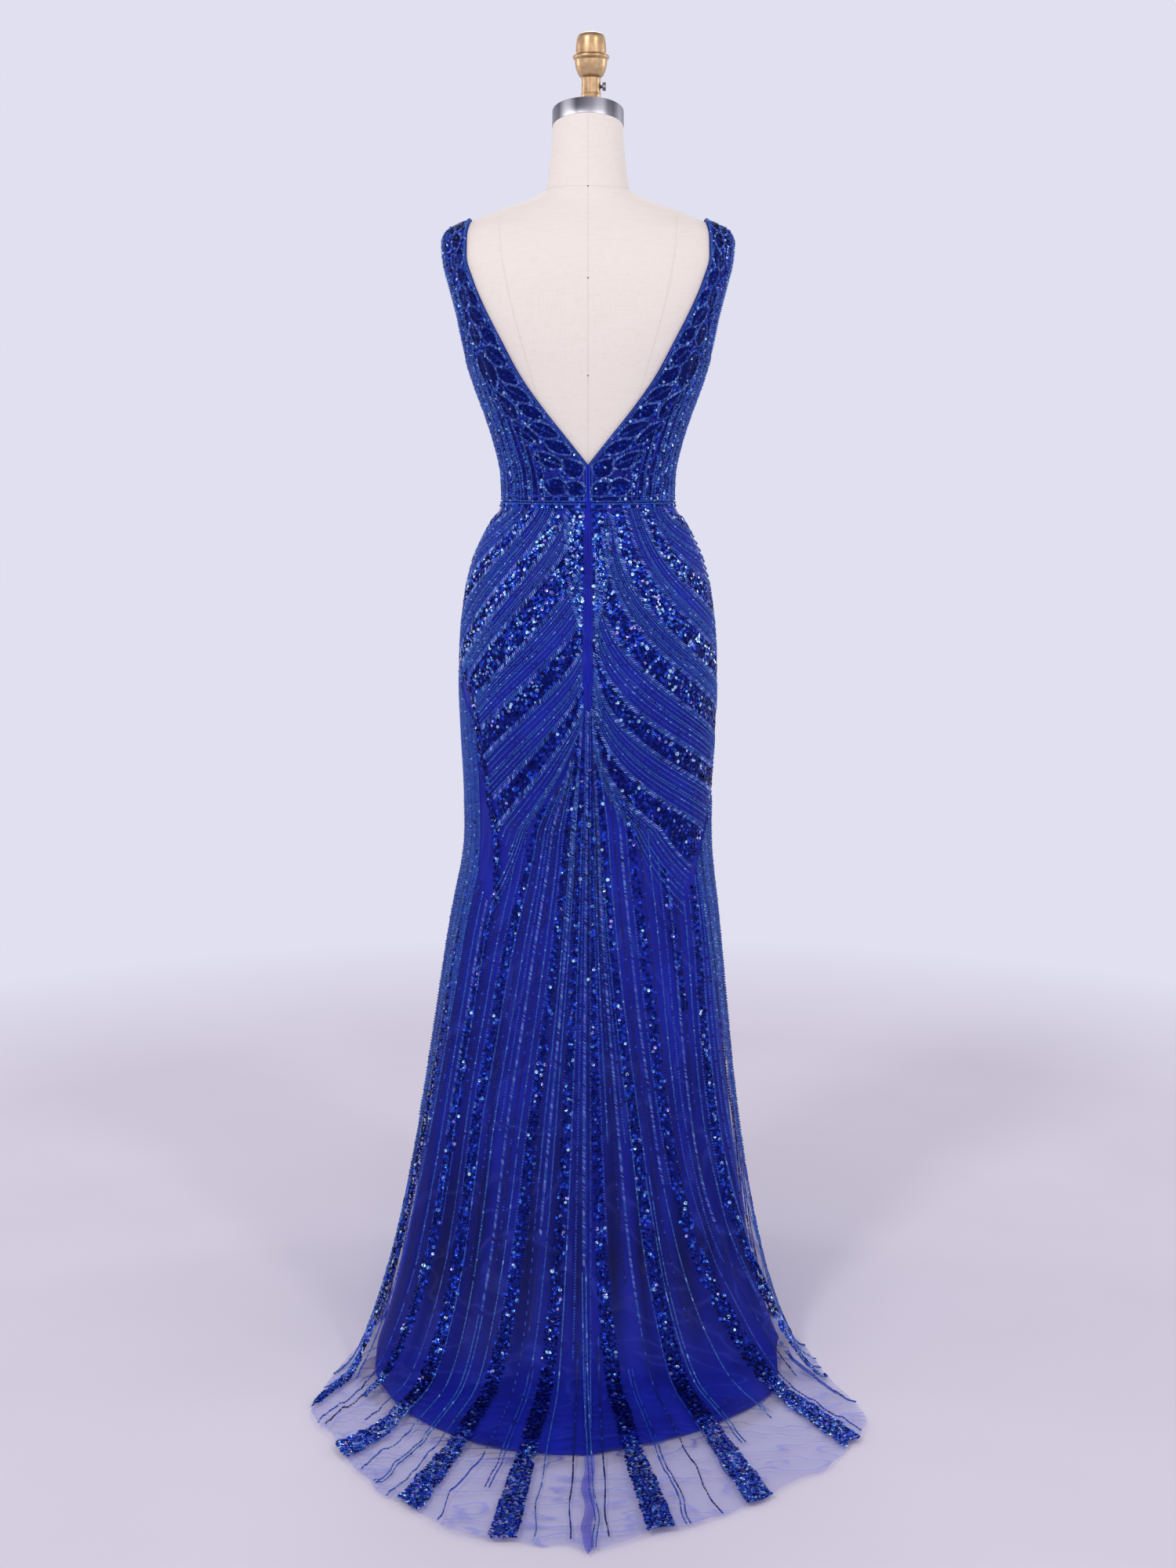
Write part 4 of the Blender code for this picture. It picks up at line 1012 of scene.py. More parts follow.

# %% [markdown]
# ## Steel collar, gilt finial and thumb screw
#
# These are turned on a lathe, so each is an outline spun round its axis. The collar is brushed steel: fine
# scratches run round it, which draws the highlights out into upright bars, and more upright bars of light and dark
# are painted into its colour round it, as painted reflections. The finial is cast and painted gold, with a dull,
# slightly blotchy gilt. The screw's head is knurled so that fingers grip it.

# %% Metals
# Painted reflections round the collar from the front, in degrees from the centre back: upright bars of light and
# dark painted into its colour.
DARK_REFLECTION, DULL_REFLECTION, MID_REFLECTION, BRIGHT_REFLECTION = "#807e85", "#a3a1a8", "#cbc8cd", "#ffffff"
PAINTED_STEEL_REFLECTIONS = (
    (-180, MID_REFLECTION), (180, MID_REFLECTION), (-152, BRIGHT_REFLECTION), (-128, DARK_REFLECTION), (-96, DULL_REFLECTION), (-52, DARK_REFLECTION),
    (-38, BRIGHT_REFLECTION), (-31, BRIGHT_REFLECTION), (-19, DARK_REFLECTION), (-7, DULL_REFLECTION), (6, MID_REFLECTION), (16, BRIGHT_REFLECTION),
    (24, BRIGHT_REFLECTION), (33, DULL_REFLECTION), (45, DARK_REFLECTION), (61, MID_REFLECTION), (84, DARK_REFLECTION), (118, BRIGHT_REFLECTION),
    (146, DULL_REFLECTION),
)
EVEN = (1.0, 1.0, 1.0)


def metal(name, dark, light, rough, stretch, grains, bars=(), **sockets):
    """A metal with so many grains to the metre, drawn out by stretch, that vary its colour and roughness."""
    made, tree, shader, place = new_material(name, **{"Metallic": 1.0} | sockets)
    drawn_out = add_node(tree, "VectorMath", {1: stretch}, {0: place}, operation="MULTIPLY")
    grain = add_node(tree, "TexNoise", {"Scale": grains, "Detail": 3.0}, {"Vector": (drawn_out, 0)})
    worn = add_node(tree, "MapRange", {"To Min": rough[0], "To Max": rough[1]}, {"Value": (grain, "Fac")})
    bump = add_node(tree, "Bump", {"Strength": 0.15, "Distance": 0.0001}, {"Height": (grain, "Fac")})
    by, stops = (grain, "Fac"), [(0.3, dark), (0.7, light)]
    # With bars, the colour follows the angle round the axis: painted reflections as upright bars of light and dark.
    if bars:
        sides = add_node(tree, "SeparateXYZ", links={"Vector": place})
        backwards = add_node(tree, "Math", {1: -1.0}, {0: (sides, "Y")}, operation="MULTIPLY")
        turn = add_node(tree, "Math", links={0: (sides, "X"), 1: (backwards, 0)}, operation="ARCTAN2")
        turns = add_node(tree, "MapRange", {"From Min": -math.pi, "From Max": math.pi}, {"Value": (turn, 0)})
        by, stops = (turns, "Result"), [(degrees / 360 + 0.5, colour) for degrees, colour in bars]
        round_it = add_node(tree, "Tangent", direction_type="RADIAL", axis="Z")
        set_node(shader, {"Anisotropic": 0.85}, {"Tangent": (round_it, "Tangent")})
    shade = add_node(tree, "ValToRGB", links={"Fac": by}, stops=stops)
    set_node(
        shader, links={"Roughness": (worn, "Result"), "Base Color": (shade, "Color"), "Normal": (bump, "Normal")}
    )
    return made


# Brushed steel: scratches about 0.4 mm apart, and so soft upright bars, and painted reflections as upright bars in
# its colour. Gold paint on a casting: dull, with blotches of 8 mm. Turned steel: fine rings about 0.3 mm apart.
brushed_steel = metal("brushed_steel", None, None, (0.30, 0.36), (1.0, 1.0, 40.0), 60.0, PAINTED_STEEL_REFLECTIONS)
gilt = metal("gold_paint_on_casting", "#b8946a", "#dcba8e", (0.32, 0.44), EVEN, 120.0)
screw_steel = metal("turned_screw_steel", "#98969d", "#b4b2b9", (0.26, 0.36), (30.0, 1.0, 1.0), 120.0)
# Chromed tube: a clear mirror. Enamelled iron: nearly black, with the casting's grit of 2 mm under the paint.
pole_steel = metal("chromed_tube", "#bdbdc4", "#d4d4d8", (0.08, 0.2), (1.0, 1.0, 0.1), 90.0)
iron = metal("enamelled_cast_iron", "#1b1b1e", "#2a2a2e", (0.35, 0.55), EVEN, 500.0, Metallic=0.0)
for node, finish in (("stand_pole", pole_steel), ("stand_base", iron)):
    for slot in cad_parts[node].material_slots:
        slot.material = finish
print("metals:", [finish.name for finish in (brushed_steel, gilt, screw_steel, pole_steel, iron)])


# %% Turned pieces
def lathe(name, outline, sides, finish, sharp=35):
    """An outline of (radius, z) points spun round the Z axis and closed at both ends."""
    bm = bmesh.new()
    points = [(0.0, outline[0][1]), *outline, (0.0, outline[-1][1])]
    verts = [bm.verts.new((radius, 0.0, z)) for radius, z in points]
    edges = [bm.edges.new(pair) for pair in zip(verts, verts[1:])]
    bmesh.ops.spin(
        bm, geom=verts + edges, axis=(0, 0, 1), cent=(0, 0, 0), angle=2 * math.pi, steps=sides, use_merge=True
    )
    bmesh.ops.remove_doubles(bm, verts=bm.verts, dist=1e-7)
    bmesh.ops.recalc_face_normals(bm, faces=bm.faces)
    return show(finished(bm, name), finish, sharp=sharp)


def rounded(outline, steps=5):
    """A turned outline with points added on a smooth curve through it."""
    radius, z = np.array(outline).T
    length = flat_distance(radius, z)
    at = np.linspace(0, length[-1], len(outline) * steps)
    return list(zip(smooth_through(length, radius, at), smooth_through(length, z, at)))


CAP_RADIUS, CAP_HEIGHT = 0.0474, 0.0225
CAP_HOLE, CAP_DISH = 0.016, CAP_HEIGHT - 0.0004
collar_outline = [
    (CAP_RADIUS - 0.0006, 0.0), (CAP_RADIUS, 0.0006), (CAP_RADIUS, CAP_HEIGHT - 0.0012),
    (CAP_RADIUS - 0.0004, CAP_DISH), (CAP_RADIUS - 0.0012, CAP_HEIGHT),
    (CAP_RADIUS - 0.0032, CAP_HEIGHT), (CAP_RADIUS - 0.0036, CAP_DISH), (CAP_HOLE, CAP_DISH),
]
collar = lathe("form_steel_collar", collar_outline, 128, brushed_steel)
neck_up = np.array([0.0, math.sin(NECK_TILT), math.cos(NECK_TILT)])
collar.location = np.array([0.0, 0.0, NECK_TOP_Z]) + neck_up * SEAM_GAP
collar.rotation_euler.x = -NECK_TILT
print("collar faces:", len(collar.data.polygons))

# %% The finial
FINIAL_X = 0.004
STEM_RADIUS, RING_RISE = 0.0125, 0.0008
BOWL = ((0.0125, 1.6690), (0.0155, 1.6712), (0.0188, 1.6775), (0.0208, 1.6845), (0.0214, 1.6915))
FLANGE = ((0.0228, 1.6930), (0.0240, 1.6942), (0.0242, 1.6955), (0.0238, 1.6970), (0.0222, 1.6984))
DOME = (
    (0.0200, 1.6996), (0.0199, 1.7070), (0.0191, 1.7155), (0.0178, 1.7212), (0.0143, 1.7252), (0.0075, 1.7270),
)
collar_top_z = neck_top_z(0.0, CAP_HEIGHT + 2 * SEAM_GAP)
outline = [
    (STEM_RADIUS, collar_top_z - STEM_RADIUS * math.tan(NECK_TILT)), (STEM_RADIUS, 1.6480),
    (STEM_RADIUS + RING_RISE, 1.6486), (STEM_RADIUS + RING_RISE, 1.6498), (STEM_RADIUS, 1.6504),
    *rounded(BOWL), *rounded(FLANGE), *rounded(DOME),
]
finial = lathe("form_gilt_finial", outline, 72, gilt)
bm = bmesh.new()
bm.from_mesh(finial.data)
cut = {"plane_co": (0.0, 0.0, collar_top_z), "plane_no": neck_up, "clear_inner": True}
bmesh.ops.bisect_plane(bm, geom=[*bm.verts, *bm.edges, *bm.faces], **cut)
bmesh.ops.holes_fill(bm, edges=[edge for edge in bm.edges if edge.is_boundary])
bm.to_mesh(finial.data)
bm.free()
finial.location.x = FINIAL_X
print("points on the finial's outline:", len(outline))

# %% The thumb screw
SCREW_Z, SCREW_RADIUS = 1.6580, 0.0025
SCREW_HOLE_RADIUS, SPARE_HOLE_RADIUS, SCREW_HOLE_DEPTH = 0.0029, 0.0018, 0.0060
HEAD_RADIUS, HEAD_THICK, HEAD_GAP, HEAD_BEVEL = 0.0056, 0.0048, 0.0026, 0.0009
THREAD_PITCH, THREAD_DEPTH = 0.0008, 0.0003
KNURLS, KNURL_SHARE = 26, 0.93

shaft_end = STEM_RADIUS - SCREW_HOLE_DEPTH + SEAM_GAP
head_at = STEM_RADIUS + HEAD_GAP
thread = []
for turn_z in np.arange(shaft_end + 0.0004, head_at - 0.0005, THREAD_PITCH):
    thread += [(SCREW_RADIUS - THREAD_DEPTH, turn_z), (SCREW_RADIUS, turn_z + THREAD_PITCH / 2)]
head_outline = [
    (HEAD_RADIUS - HEAD_BEVEL, head_at), (HEAD_RADIUS, head_at + 0.0008),
    (HEAD_RADIUS, head_at + HEAD_THICK - 0.0008),
    (HEAD_RADIUS - HEAD_BEVEL, head_at + HEAD_THICK - 0.0001), (0.0030, head_at + HEAD_THICK),
]
screw = lathe(
    "knurled_thumb_screw", [(SCREW_RADIUS, shaft_end), *thread, (SCREW_RADIUS, head_at), *head_outline],
    KNURLS * 2, screw_steel, 25,
)
for vert in screw.data.vertices:
    if vert.co.z > head_at + 0.0004 and math.hypot(vert.co.x, vert.co.y) > HEAD_RADIUS - 0.0002:
        if round(math.atan2(vert.co.y, vert.co.x) / (math.pi / KNURLS)) % 2:
            vert.co.x *= KNURL_SHARE
            vert.co.y *= KNURL_SHARE


def lay_in_stem(made):
    made.location = (FINIAL_X, 0.0, SCREW_Z)
    made.rotation_euler.y = math.pi / 2


lay_in_stem(screw)
print("turns of thread:", len(thread) // 2, "knurls:", KNURLS)

# %% The two holes in the stem
for name, radius, low, high in (
    ("screw_hole", SCREW_HOLE_RADIUS, shaft_end - SEAM_GAP, STEM_RADIUS + 0.003),
    ("spare_hole", SPARE_HOLE_RADIUS, -STEM_RADIUS - 0.003, -STEM_RADIUS + SCREW_HOLE_DEPTH),
):
    drill = lathe(name, [(radius, low), (radius, high)], 24, gilt)
    lay_in_stem(drill)
    bpy.context.view_layer.update()
    cut = finial.modifiers.new(name, "BOOLEAN")
    cut.operation, cut.solver, cut.object = "DIFFERENCE", "EXACT", drill
    bpy.context.view_layer.objects.active = finial
    with bpy.context.temp_override(object=finial, active_object=finial):
        bpy.ops.object.modifier_apply(modifier=name)
    bpy.data.objects.remove(drill)
print("finial faces after drilling:", len(finial.data.polygons))

# %% [markdown]
# ## Beadwork: three small shapes laid by the thousand
#
# A beader works on the net before the panels are sewn together. Sequins are stamped from foil with a cupped
# middle, so each one throws the light its own way. Seed beads are short bits of glass tube, strung on a thread
# and couched down in lines; bugle beads are longer bits. The real gown has some tens of thousands of each, 2 to
# 5 mm in size. Each kind is one tiny shape here, and the arrays below lay it along lines on a surface. All that
# sits on one panel is joined into one mesh, which Blender handles far better than thousands of objects.

# %% Foil and glass
SEQUIN_COLOURS = (
    ("navy_foil_sequin", "#0b1452", "#162176"),
    ("royal_foil_sequin", "#1a33aa", "#2a4ed8"),
    ("steel_blue_foil_sequin", "#3263c0", "#5f92e0"),
    # Pale ice foil, whose pale colour also stands for the glints of lit sequins: a painted highlight.
    ("ice_foil_and_glint_sequin", "#8cc4f4", "#c8e8fe"),
    ("violet_foil_sequin", "#7c74d4", "#b9aef2"),
)
BEAD_COLOURS = (
    ("navy_glass_bead", "#0c1550", "#16226e"),
    ("royal_glass_bead", "#1f3aa2", "#2c4dc0"),
    ("steel_blue_glass_bead", "#2650a2", "#3e6ec2"),
    ("ice_glass_bead", "#5c8cdc", "#92baf2"),
    # Lilac glass, whose pale colour also stands for the highlights along a rope's slanted bugles: a painted
    # highlight.
    ("lilac_glass_and_highlight_bugle", "#4a5ac8", "#8290ea"),
)
SPECKLE = 260.0  # to the metre, so that a sequin of 4 mm has about one shade of its own


def glint(name, dark, light, **sockets):
    """A small shiny thing's material, whose shade differs from one to the next."""
    made, tree, shader, place = new_material(name, **sockets)
    speckle = add_node(tree, "TexNoise", {"Scale": SPECKLE}, {"Vector": place})
    stops = ((0.38, dark), (0.62, light))
    shade = add_node(tree, "ValToRGB", links={"Fac": (speckle, "Fac")}, stops=stops)
    set_node(shader, links={"Base Color": (shade, "Color")})
    return made


# Stamped foil: small bright mirrors. Glass: duller than foil, with a soft point of light on each bead.
foils = [glint(*colours, Metallic=1.0, Roughness=0.27) for colours in SEQUIN_COLOURS]
glasses = [glint(*colours, Roughness=0.30, IOR=1.52, Specular_IOR_Level=0.25) for colours in BEAD_COLOURS]

# How often each colour comes, in the order of the two tables above.
MIXES = {
    "velvet": (0.93, 0.06, 0.006, 0.004, 0.0),
    "deep": (0.74, 0.19, 0.04, 0.022, 0.008),
    "field": (0.62, 0.22, 0.09, 0.05, 0.02),
    "bright": (0.46, 0.24, 0.16, 0.10, 0.04),
    "train": (0.03, 0.55, 0.28, 0.07, 0.07),
    "navy_string": (0.86, 0.14, 0.0, 0.0, 0.0),
    "royal_string": (0.10, 0.84, 0.06, 0.0, 0.0),
    "steel_string": (0.02, 0.08, 0.84, 0.06, 0.0),
    "edge_string": (0.0, 0.10, 0.46, 0.20, 0.24),
    "rope": (0.08, 0.18, 0.34, 0.12, 0.28),
}
print("foils:", len(foils), "glasses:", len(glasses), "mixes:", len(MIXES))

# %% The three shapes
# The underside of a bead lies on the net and never shows, so a bead is a little pyramid and a bugle a little roof.
# A small shape has points in metres (along its line, aside and up) and triangles.
Shape = namedtuple("Shape", "points faces")
SEQUIN_ACROSS, SEQUIN_CUP = 0.0046, 0.0006
BEAD_LONG, BEAD_THICK = 0.0029, 0.0026
BUGLE_LONG, BUGLE_THICK = 0.0060, 0.0018
six = np.arange(6) * math.pi / 3
rim = np.column_stack([np.cos(six), np.sin(six), np.full(6, SEQUIN_CUP / SEQUIN_ACROSS)]) * SEQUIN_ACROSS / 2
pyramid = np.array([(-1, 0, 0), (0, -1, 0), (1, 0, 0), (0, 1, 0), (0, 0, 2)])
roof = np.array([(x, y, 2 - 2 * abs(y)) for x in (-1, 1) for y in (-1, 0, 1)])
SHAPES = {
    "sequins": Shape(
        np.vstack([(0.0, 0.0, -SEQUIN_CUP / 2), rim]), np.array([(0, i + 1, (i + 1) % 6 + 1) for i in range(6)])
    ),
    "beads": Shape(
        pyramid * (BEAD_LONG / 2, BEAD_THICK / 2, BEAD_THICK / 2), np.array([(i, (i + 1) % 4, 4) for i in range(4)])
    ),
    "bugles": Shape(
        roof * (BUGLE_LONG / 2, BUGLE_THICK / 2, BUGLE_THICK / 2),
        np.array([(0, 3, 1), (3, 4, 1), (1, 4, 2), (4, 5, 2)]),
    ),
}
LIFTS = {"sequins": 0.0009, "beads": 0.0002, "bugles": 0.0002}
LOWEST_Z = 0.0003
print("triangles in one of each:", {kind: len(shape.faces) for kind, shape in SHAPES.items()})

# %% Laying them on a surface
FEWEST_POINTS, FEWEST_PLACES = 6, 3


class Beadwork:
    """Small shapes sewn to one surface. Lines and leaves are added to it, and then it makes joined meshes."""

    def __init__(self, surface):
        self.surface = surface
        self.sewn = {kind: [] for kind in SHAPES}

    def add(self, kind, mix, row, col, along, size=1.0, loose=0.0, spread=0.10):
        """Sews one shape at each place. loose is how far it tips over, as the sine of an angle."""
        if not len(row):
            return
        centre, up = self.surface.at(row, col)
        up = unit(up + chance.normal(0, loose, up.shape)) if loose else up
        colour = chance.choice(len(MIXES[mix]), len(row), p=MIXES[mix])
        scale = size * (1 + chance.normal(0, spread, len(row)))
        self.sewn[kind].append((centre + up * LIFTS[kind], along, up, scale, colour, col))

    def line(self, kind, mix, row, col, pitch, turn=0.0, slip=0.0, aside=0.0, keep=None, **how):
        """Sews shapes at an even pitch along a line on the surface, or some metres aside from it.

        slip is how far a shape may be out of place, and keep is the share of shapes that stay at each point.
        """
        if len(row) < FEWEST_POINTS:
            return
        length = distance_along(self.surface.at(row, col)[0])
        places = np.arange(pitch / 2, length[-1], pitch)
        if len(places) < FEWEST_PLACES:
            return
        even_row, even_col = np.interp(places, length, row), np.interp(places, length, col)
        here, up = self.surface.at(even_row, even_col)
        along = unit(np.gradient(here, axis=0))
        along = along * math.cos(turn) + np.cross(up, along) * math.sin(turn)
        by_row, by_col = self.surface.steps_aside(even_row, even_col)
        shift = aside + chance.normal(0, slip + 1e-6, len(places))
        places = np.clip(places + chance.normal(0, slip + 1e-6, len(places)), 0, length[-1])
        new_row = np.interp(places, length, row) + by_row * shift
        new_row = np.clip(new_row, self.surface.rows[0], self.surface.rows[-1])
        new_col = np.interp(places, length, col) + by_col * shift
        stays = np.full(len(places), True)
        if keep is not None:
            stays = chance.random(len(places)) < np.interp(places, length, keep)
        self.add(kind, mix, new_row[stays], new_col[stays], along[stays], **how)

    def counted(self):
        return {kind: sum(len(centre) for centre, *_ in lots) for kind, lots in self.sewn.items()}

    def make(self, name, chosen=lambda col: np.full(len(col), True)):
        """Makes the meshes: one of sequins, and one of the beads and bugles, of the places that are chosen."""
        made = []
        for piece, kinds, finishes in (("sequins", ("sequins",), foils), ("beads", ("beads", "bugles"), glasses)):
            parts, colours = [], []
            for kind in kinds:
                shape = SHAPES[kind]
                for *spots, colour, col in self.sewn[kind]:
                    here = chosen(col)
                    centre, along, up, scale = (values[here] for values in spots)
                    aside = unit(np.cross(up, along))
                    axes = np.stack([np.cross(aside, up), aside, up], axis=1)
                    points = centre[:, None] + (shape.points[None] @ axes) * scale[:, None, None]
                    points[..., 2] = np.maximum(points[..., 2], LOWEST_Z)
                    first = np.arange(len(centre))[:, None, None] * len(shape.points)
                    parts.append((points.reshape(-1, 3), (shape.faces[None] + first).reshape(-1, 3)))
                    colours.append(np.repeat(colour[here], len(shape.faces)))
            mesh = mesh_from_arrays(f"{name}_{piece}", *joined([part for part in parts if len(part[0])]))
            mesh.polygons.foreach_set("material_index", np.concatenate(colours).astype(np.int32))
            made.append(show(mesh, finishes, smooth=False))
            print(mesh.name, "has", len(mesh.polygons), "triangles")
        return made

# %% Filling the space between two lines
SEQUIN_PITCH, BEAD_PITCH, BUGLE_PITCH = 0.0038, 0.0028, 0.0066
ROPE_PITCH, ROPE_TURN = 0.0034, math.radians(52)
STRINGS_CLOSEST = SEQUIN_PITCH * 0.8
STRING_MIXES = ("steel_string", "steel_string", "royal_string")


def between(first, second, share):
    """The line a share of the way from one line to another. A line is a list of rows and one of columns."""
    gap = wrapped(second[1] - first[1])
    return first[0] + (second[0] - first[0]) * share, wrapped(first[1] + gap * share)


def gap_between(surface, first, second):
    return np.linalg.norm(surface.at(*first)[0] - surface.at(*second)[0], axis=-1)


def fill(work, first, second, low, high, mix, pitch=SEQUIN_PITCH, slip=0.24):
    """Spreads sequins evenly between two lines, from a low to a high share of the way across."""
    gap = gap_between(work.surface, first, second) * (high - low)
    rows_across = max(round(gap.max() / pitch), 1)
    for number in range(rows_across):
        row, col = between(first, second, low + (high - low) * (number + 0.5) / rows_across)
        keep = np.clip(gap / rows_across / pitch, 0, 1)
        work.line("sequins", mix, row, col, pitch, slip=pitch * slip, keep=keep, loose=0.17)


def strings(work, first, second, low, high, count):
    """Strings of beads side by side between two lines. Where the lines come close, every other string stops."""
    step = (high - low) / (count - 1)
    gap = gap_between(work.surface, first, second) * step
    for number in range(count):
        room = gap * (1 if number % 2 else 2 if number % 4 else 4) > STRINGS_CLOSEST
        row, col = between(first, second, low + step * number)
        work.line("beads", STRING_MIXES[number % 3], row[room], col[room], BEAD_PITCH, slip=0.0001, spread=0.05)


def rope(work, line, mix="rope", size=1.0):
    work.line("bugles", mix, *line, ROPE_PITCH * size, turn=ROPE_TURN, size=size, spread=0.05)


print("to a metre of line:", round(1 / SEQUIN_PITCH), "sequins or", round(1 / BEAD_PITCH), "beads")

# %% [markdown]
# ## The skirt's rays
#
# Bands of overlapping sequins leave the centre seam above the knee, where they are narrow, and widen towards the
# train like rays. Between two bands run a rope of slanted bugles and pairs of bead strings. Below the calf the
# strings are thin bugles in single file, and every line stops at its own height.

# %% The table of rays
# A band of sequins down the skirt: width at the hem in mm, top row, and its angle at some row numbers.
Ray = namedtuple("Ray", "width top path")
RAYS = [
    Ray(*row) for row in (
        (22, 1.02, ((0.6, -162), (3, -162))),
        (24, 0.96, ((0.6, -143), (3, -143))),
        (22, 1.10, ((0.6, -124), (3, -124))),
        (24, 0.98, ((0.6, -104), (3, -104))),
        (22, 1.15, ((0.6, -84), (3, -82))),
        (22, 1.12, ((0.6, -70), (1.05, -66), (1.5, -62), (2, -61), (3, -58))),
        (30, 0.62, ((0.6, -3), (0.8, -10), (1, -24), (1.25, -36), (1.5, -41), (2, -40), (3, -43))),
        (33, 0.64, ((0.6, -2), (0.8, -5), (1.1, -11), (1.5, -20.5), (2, -25), (3, -27))),
        (33, 0.74, ((0.6, -1.2), (1, -3.5), (1.5, -8), (2, -11.5), (3, -12))),
        (33, 0.80, ((0.6, 0.8), (1.1, 1.5), (1.5, 3), (2, 8), (3, 10))),
        (34, 0.64, ((0.6, 1.6), (0.8, 3.5), (1.12, 8), (1.5, 17.5), (2, 24), (3, 25))),
        (31, 0.62, ((0.5, 2), (0.64, 4), (1, 19), (1.5, 29), (2, 45), (3, 48))),
        (20, 0.90, ((0.5, 20), (0.68, 39), (1, 54), (1.5, 48), (2, 60), (3, 67))),
        (22, 1.02, ((0.6, 84), (3, 84))),
        (24, 1.08, ((0.6, 104), (3, 104))),
        (22, 0.98, ((0.6, 124), (3, 124))),
        (24, 1.05, ((0.6, 143), (3, 143))),
        (22, 0.90, ((0.6, 161), (3, 161))),
        (24, 0.74, ((0.6, 179), (3, 179))),
    )
]
SHORT_RAYS = [
    Ray(9, 0.92, ((0.62, 25), (0.92, 33), (1.3, 40))),
    Ray(10, 1.12, ((0.98, -40), (1.4, -50), (2.1, -50))),
]
# Where the swags of the hips end, by the angle from the centre: rays and strings start below this row.
SWAGS_END = table(
    "angle row",
    (0, 0.62), (2, 0.665), (8.4, 0.81), (19, 0.925), (32, 1.03), (46, 1.125), (62, 1.06), (76, 0.99), (91, 0.92),
)
skirt_work = Beadwork(skirt)


def below_swags(row, angle):
    from_centre = np.minimum(np.abs(angle), 180 - np.abs(angle))
    return row > smooth_through(*SWAGS_END.values(), from_centre)


print("rays:", len(RAYS), "and shorter ones between them:", len(SHORT_RAYS))

# %% Sequins along the rays
RAY_ROWS, LAST_ROW = 460, 2.992
RAY_TOP_WIDTH, RAY_CALF_WIDTH = 0.005, 0.013
RAY_CALF_ROW, BELOW_TOP, NEAR_HEM_ROW, NEAR_HEM_SHARE = 1.5, 0.2, 2.2, 0.82
FLOOR_ROW = 1.95
TRAIN_PITCH = 0.0031


def path_line(path, low, high=LAST_ROW):
    row = np.linspace(low, high, RAY_ROWS)
    return row, smooth_through(*np.array(path, float).T, row)


for ray in RAYS + SHORT_RAYS:
    row, angle = path_line(ray.path, ray.top, min(ray.path[-1][0], LAST_ROW))
    free = below_swags(row, angle)
    row, angle = row[free], angle[free]
    hem = ray.width / 1000
    calf = max(RAY_CALF_ROW, ray.top + BELOW_TOP)
    widths = (RAY_TOP_WIDTH, RAY_CALF_WIDTH, hem * NEAR_HEM_SHARE, hem)
    width = np.interp(row, (ray.top, calf, NEAR_HEM_ROW, 3), widths)
    edge = skirt.steps_aside(row, angle)[1] * width / 2
    for part, mix, pitch, slip in (
        (row < FLOOR_ROW, "deep", SEQUIN_PITCH, 0.22),
        (row >= FLOOR_ROW, "train", TRAIN_PITCH, 0.1),
    ):
        if part.sum() > FEWEST_POINTS:
            low, high = (row[part], (angle - edge)[part]), (row[part], (angle + edge)[part])
            fill(skirt_work, low, high, 0.0, 1.0, mix, pitch, slip=slip)
print("on the skirt so far:", skirt_work.counted())

# %% Strings between the rays
LINES_APART, FEWEST_LINES, MOST_LINES = 0.0105, 3, 10
ROOM_NEEDED = (0.004, 0.034)
STRINGS_TOP_ROW, CALF_ROW, CALF_UNEVEN = 0.62, 1.62, 0.16
PAIR_HALF, PAIR_MIXES = 0.0024, ("steel_string", "royal_string")
CALF_MIXES = ("steel_string", "royal_string", "steel_string", "navy_string")
LINE_WANDER, WANDER_FROM = 0.45, 1.9
DEEPEST_VALLEY, RUNS_TO_HEM = 0.5, 0.85

# A string starts where the two bands beside it leave room: the middle ones first, the outer ones lower down.
for number, (left, right) in enumerate(zip(RAYS, RAYS[1:] + RAYS[:1])):
    first, second = path_line(left.path, STRINGS_TOP_ROW), path_line(right.path, STRINGS_TOP_ROW)
    gap = gap_between(skirt, first, second)
    count = round(np.interp(RAY_CALF_ROW, first[0], gap) / LINES_APART)
    count = int(np.clip(count, FEWEST_LINES, MOST_LINES))
    for place in range(count):
        is_middle, odd = place == count // 2, (place + number) % 2
        share = (place + 0.9) / (count + 0.8)
        row, angle = between(first, second, share)
        free = below_swags(row, angle) & (gap > ROOM_NEEDED[0] + ROOM_NEEDED[1] * abs(share - 0.5))
        free &= fold_depth(VALLEYS, angle, skirt.at(row, angle)[0][..., 2]) < DEEPEST_VALLEY
        row, angle = row[free], angle[free]
        calf_row = CALF_ROW + CALF_UNEVEN * math.sin(number * 2.9 + place * 4.1)
        upper, lower = row < calf_row, row >= calf_row
        if is_middle:
            rope(skirt_work, (row[upper], angle[upper]), size=0.72)
        else:
            mix, bead = CALF_MIXES[(place + number) % 4], 1.35 if odd else 1.05
            skirt_work.line(
                "beads", mix, row[upper], angle[upper], BEAD_PITCH * bead, size=bead, spread=0.08, slip=0.0002
            )
        if odd and not is_middle:
            continue
        # Towards the hem a line wanders, and it ends at its own height or runs on as a twin.
        end = 2.0 + 0.99 * float(chance.random() < RUNS_TO_HEM) + 0.4 * float(chance.random())
        lower &= row < end
        row, angle = row[lower], angle[lower]
        wander = LINE_WANDER * np.sin(row * 9 + number * 1.7 + place) * np.clip(row - WANDER_FROM, 0, 1)
        mix = "navy_string" if is_middle and number % 2 else PAIR_MIXES[place % 2]
        for aside in (-PAIR_HALF, PAIR_HALF) if (number + place) % 3 == 1 else (0.0,):
            skirt_work.line("bugles", mix, row, angle + wander, BUGLE_PITCH, aside=aside, size=0.95)
print("on the skirt so far:", skirt_work.counted())

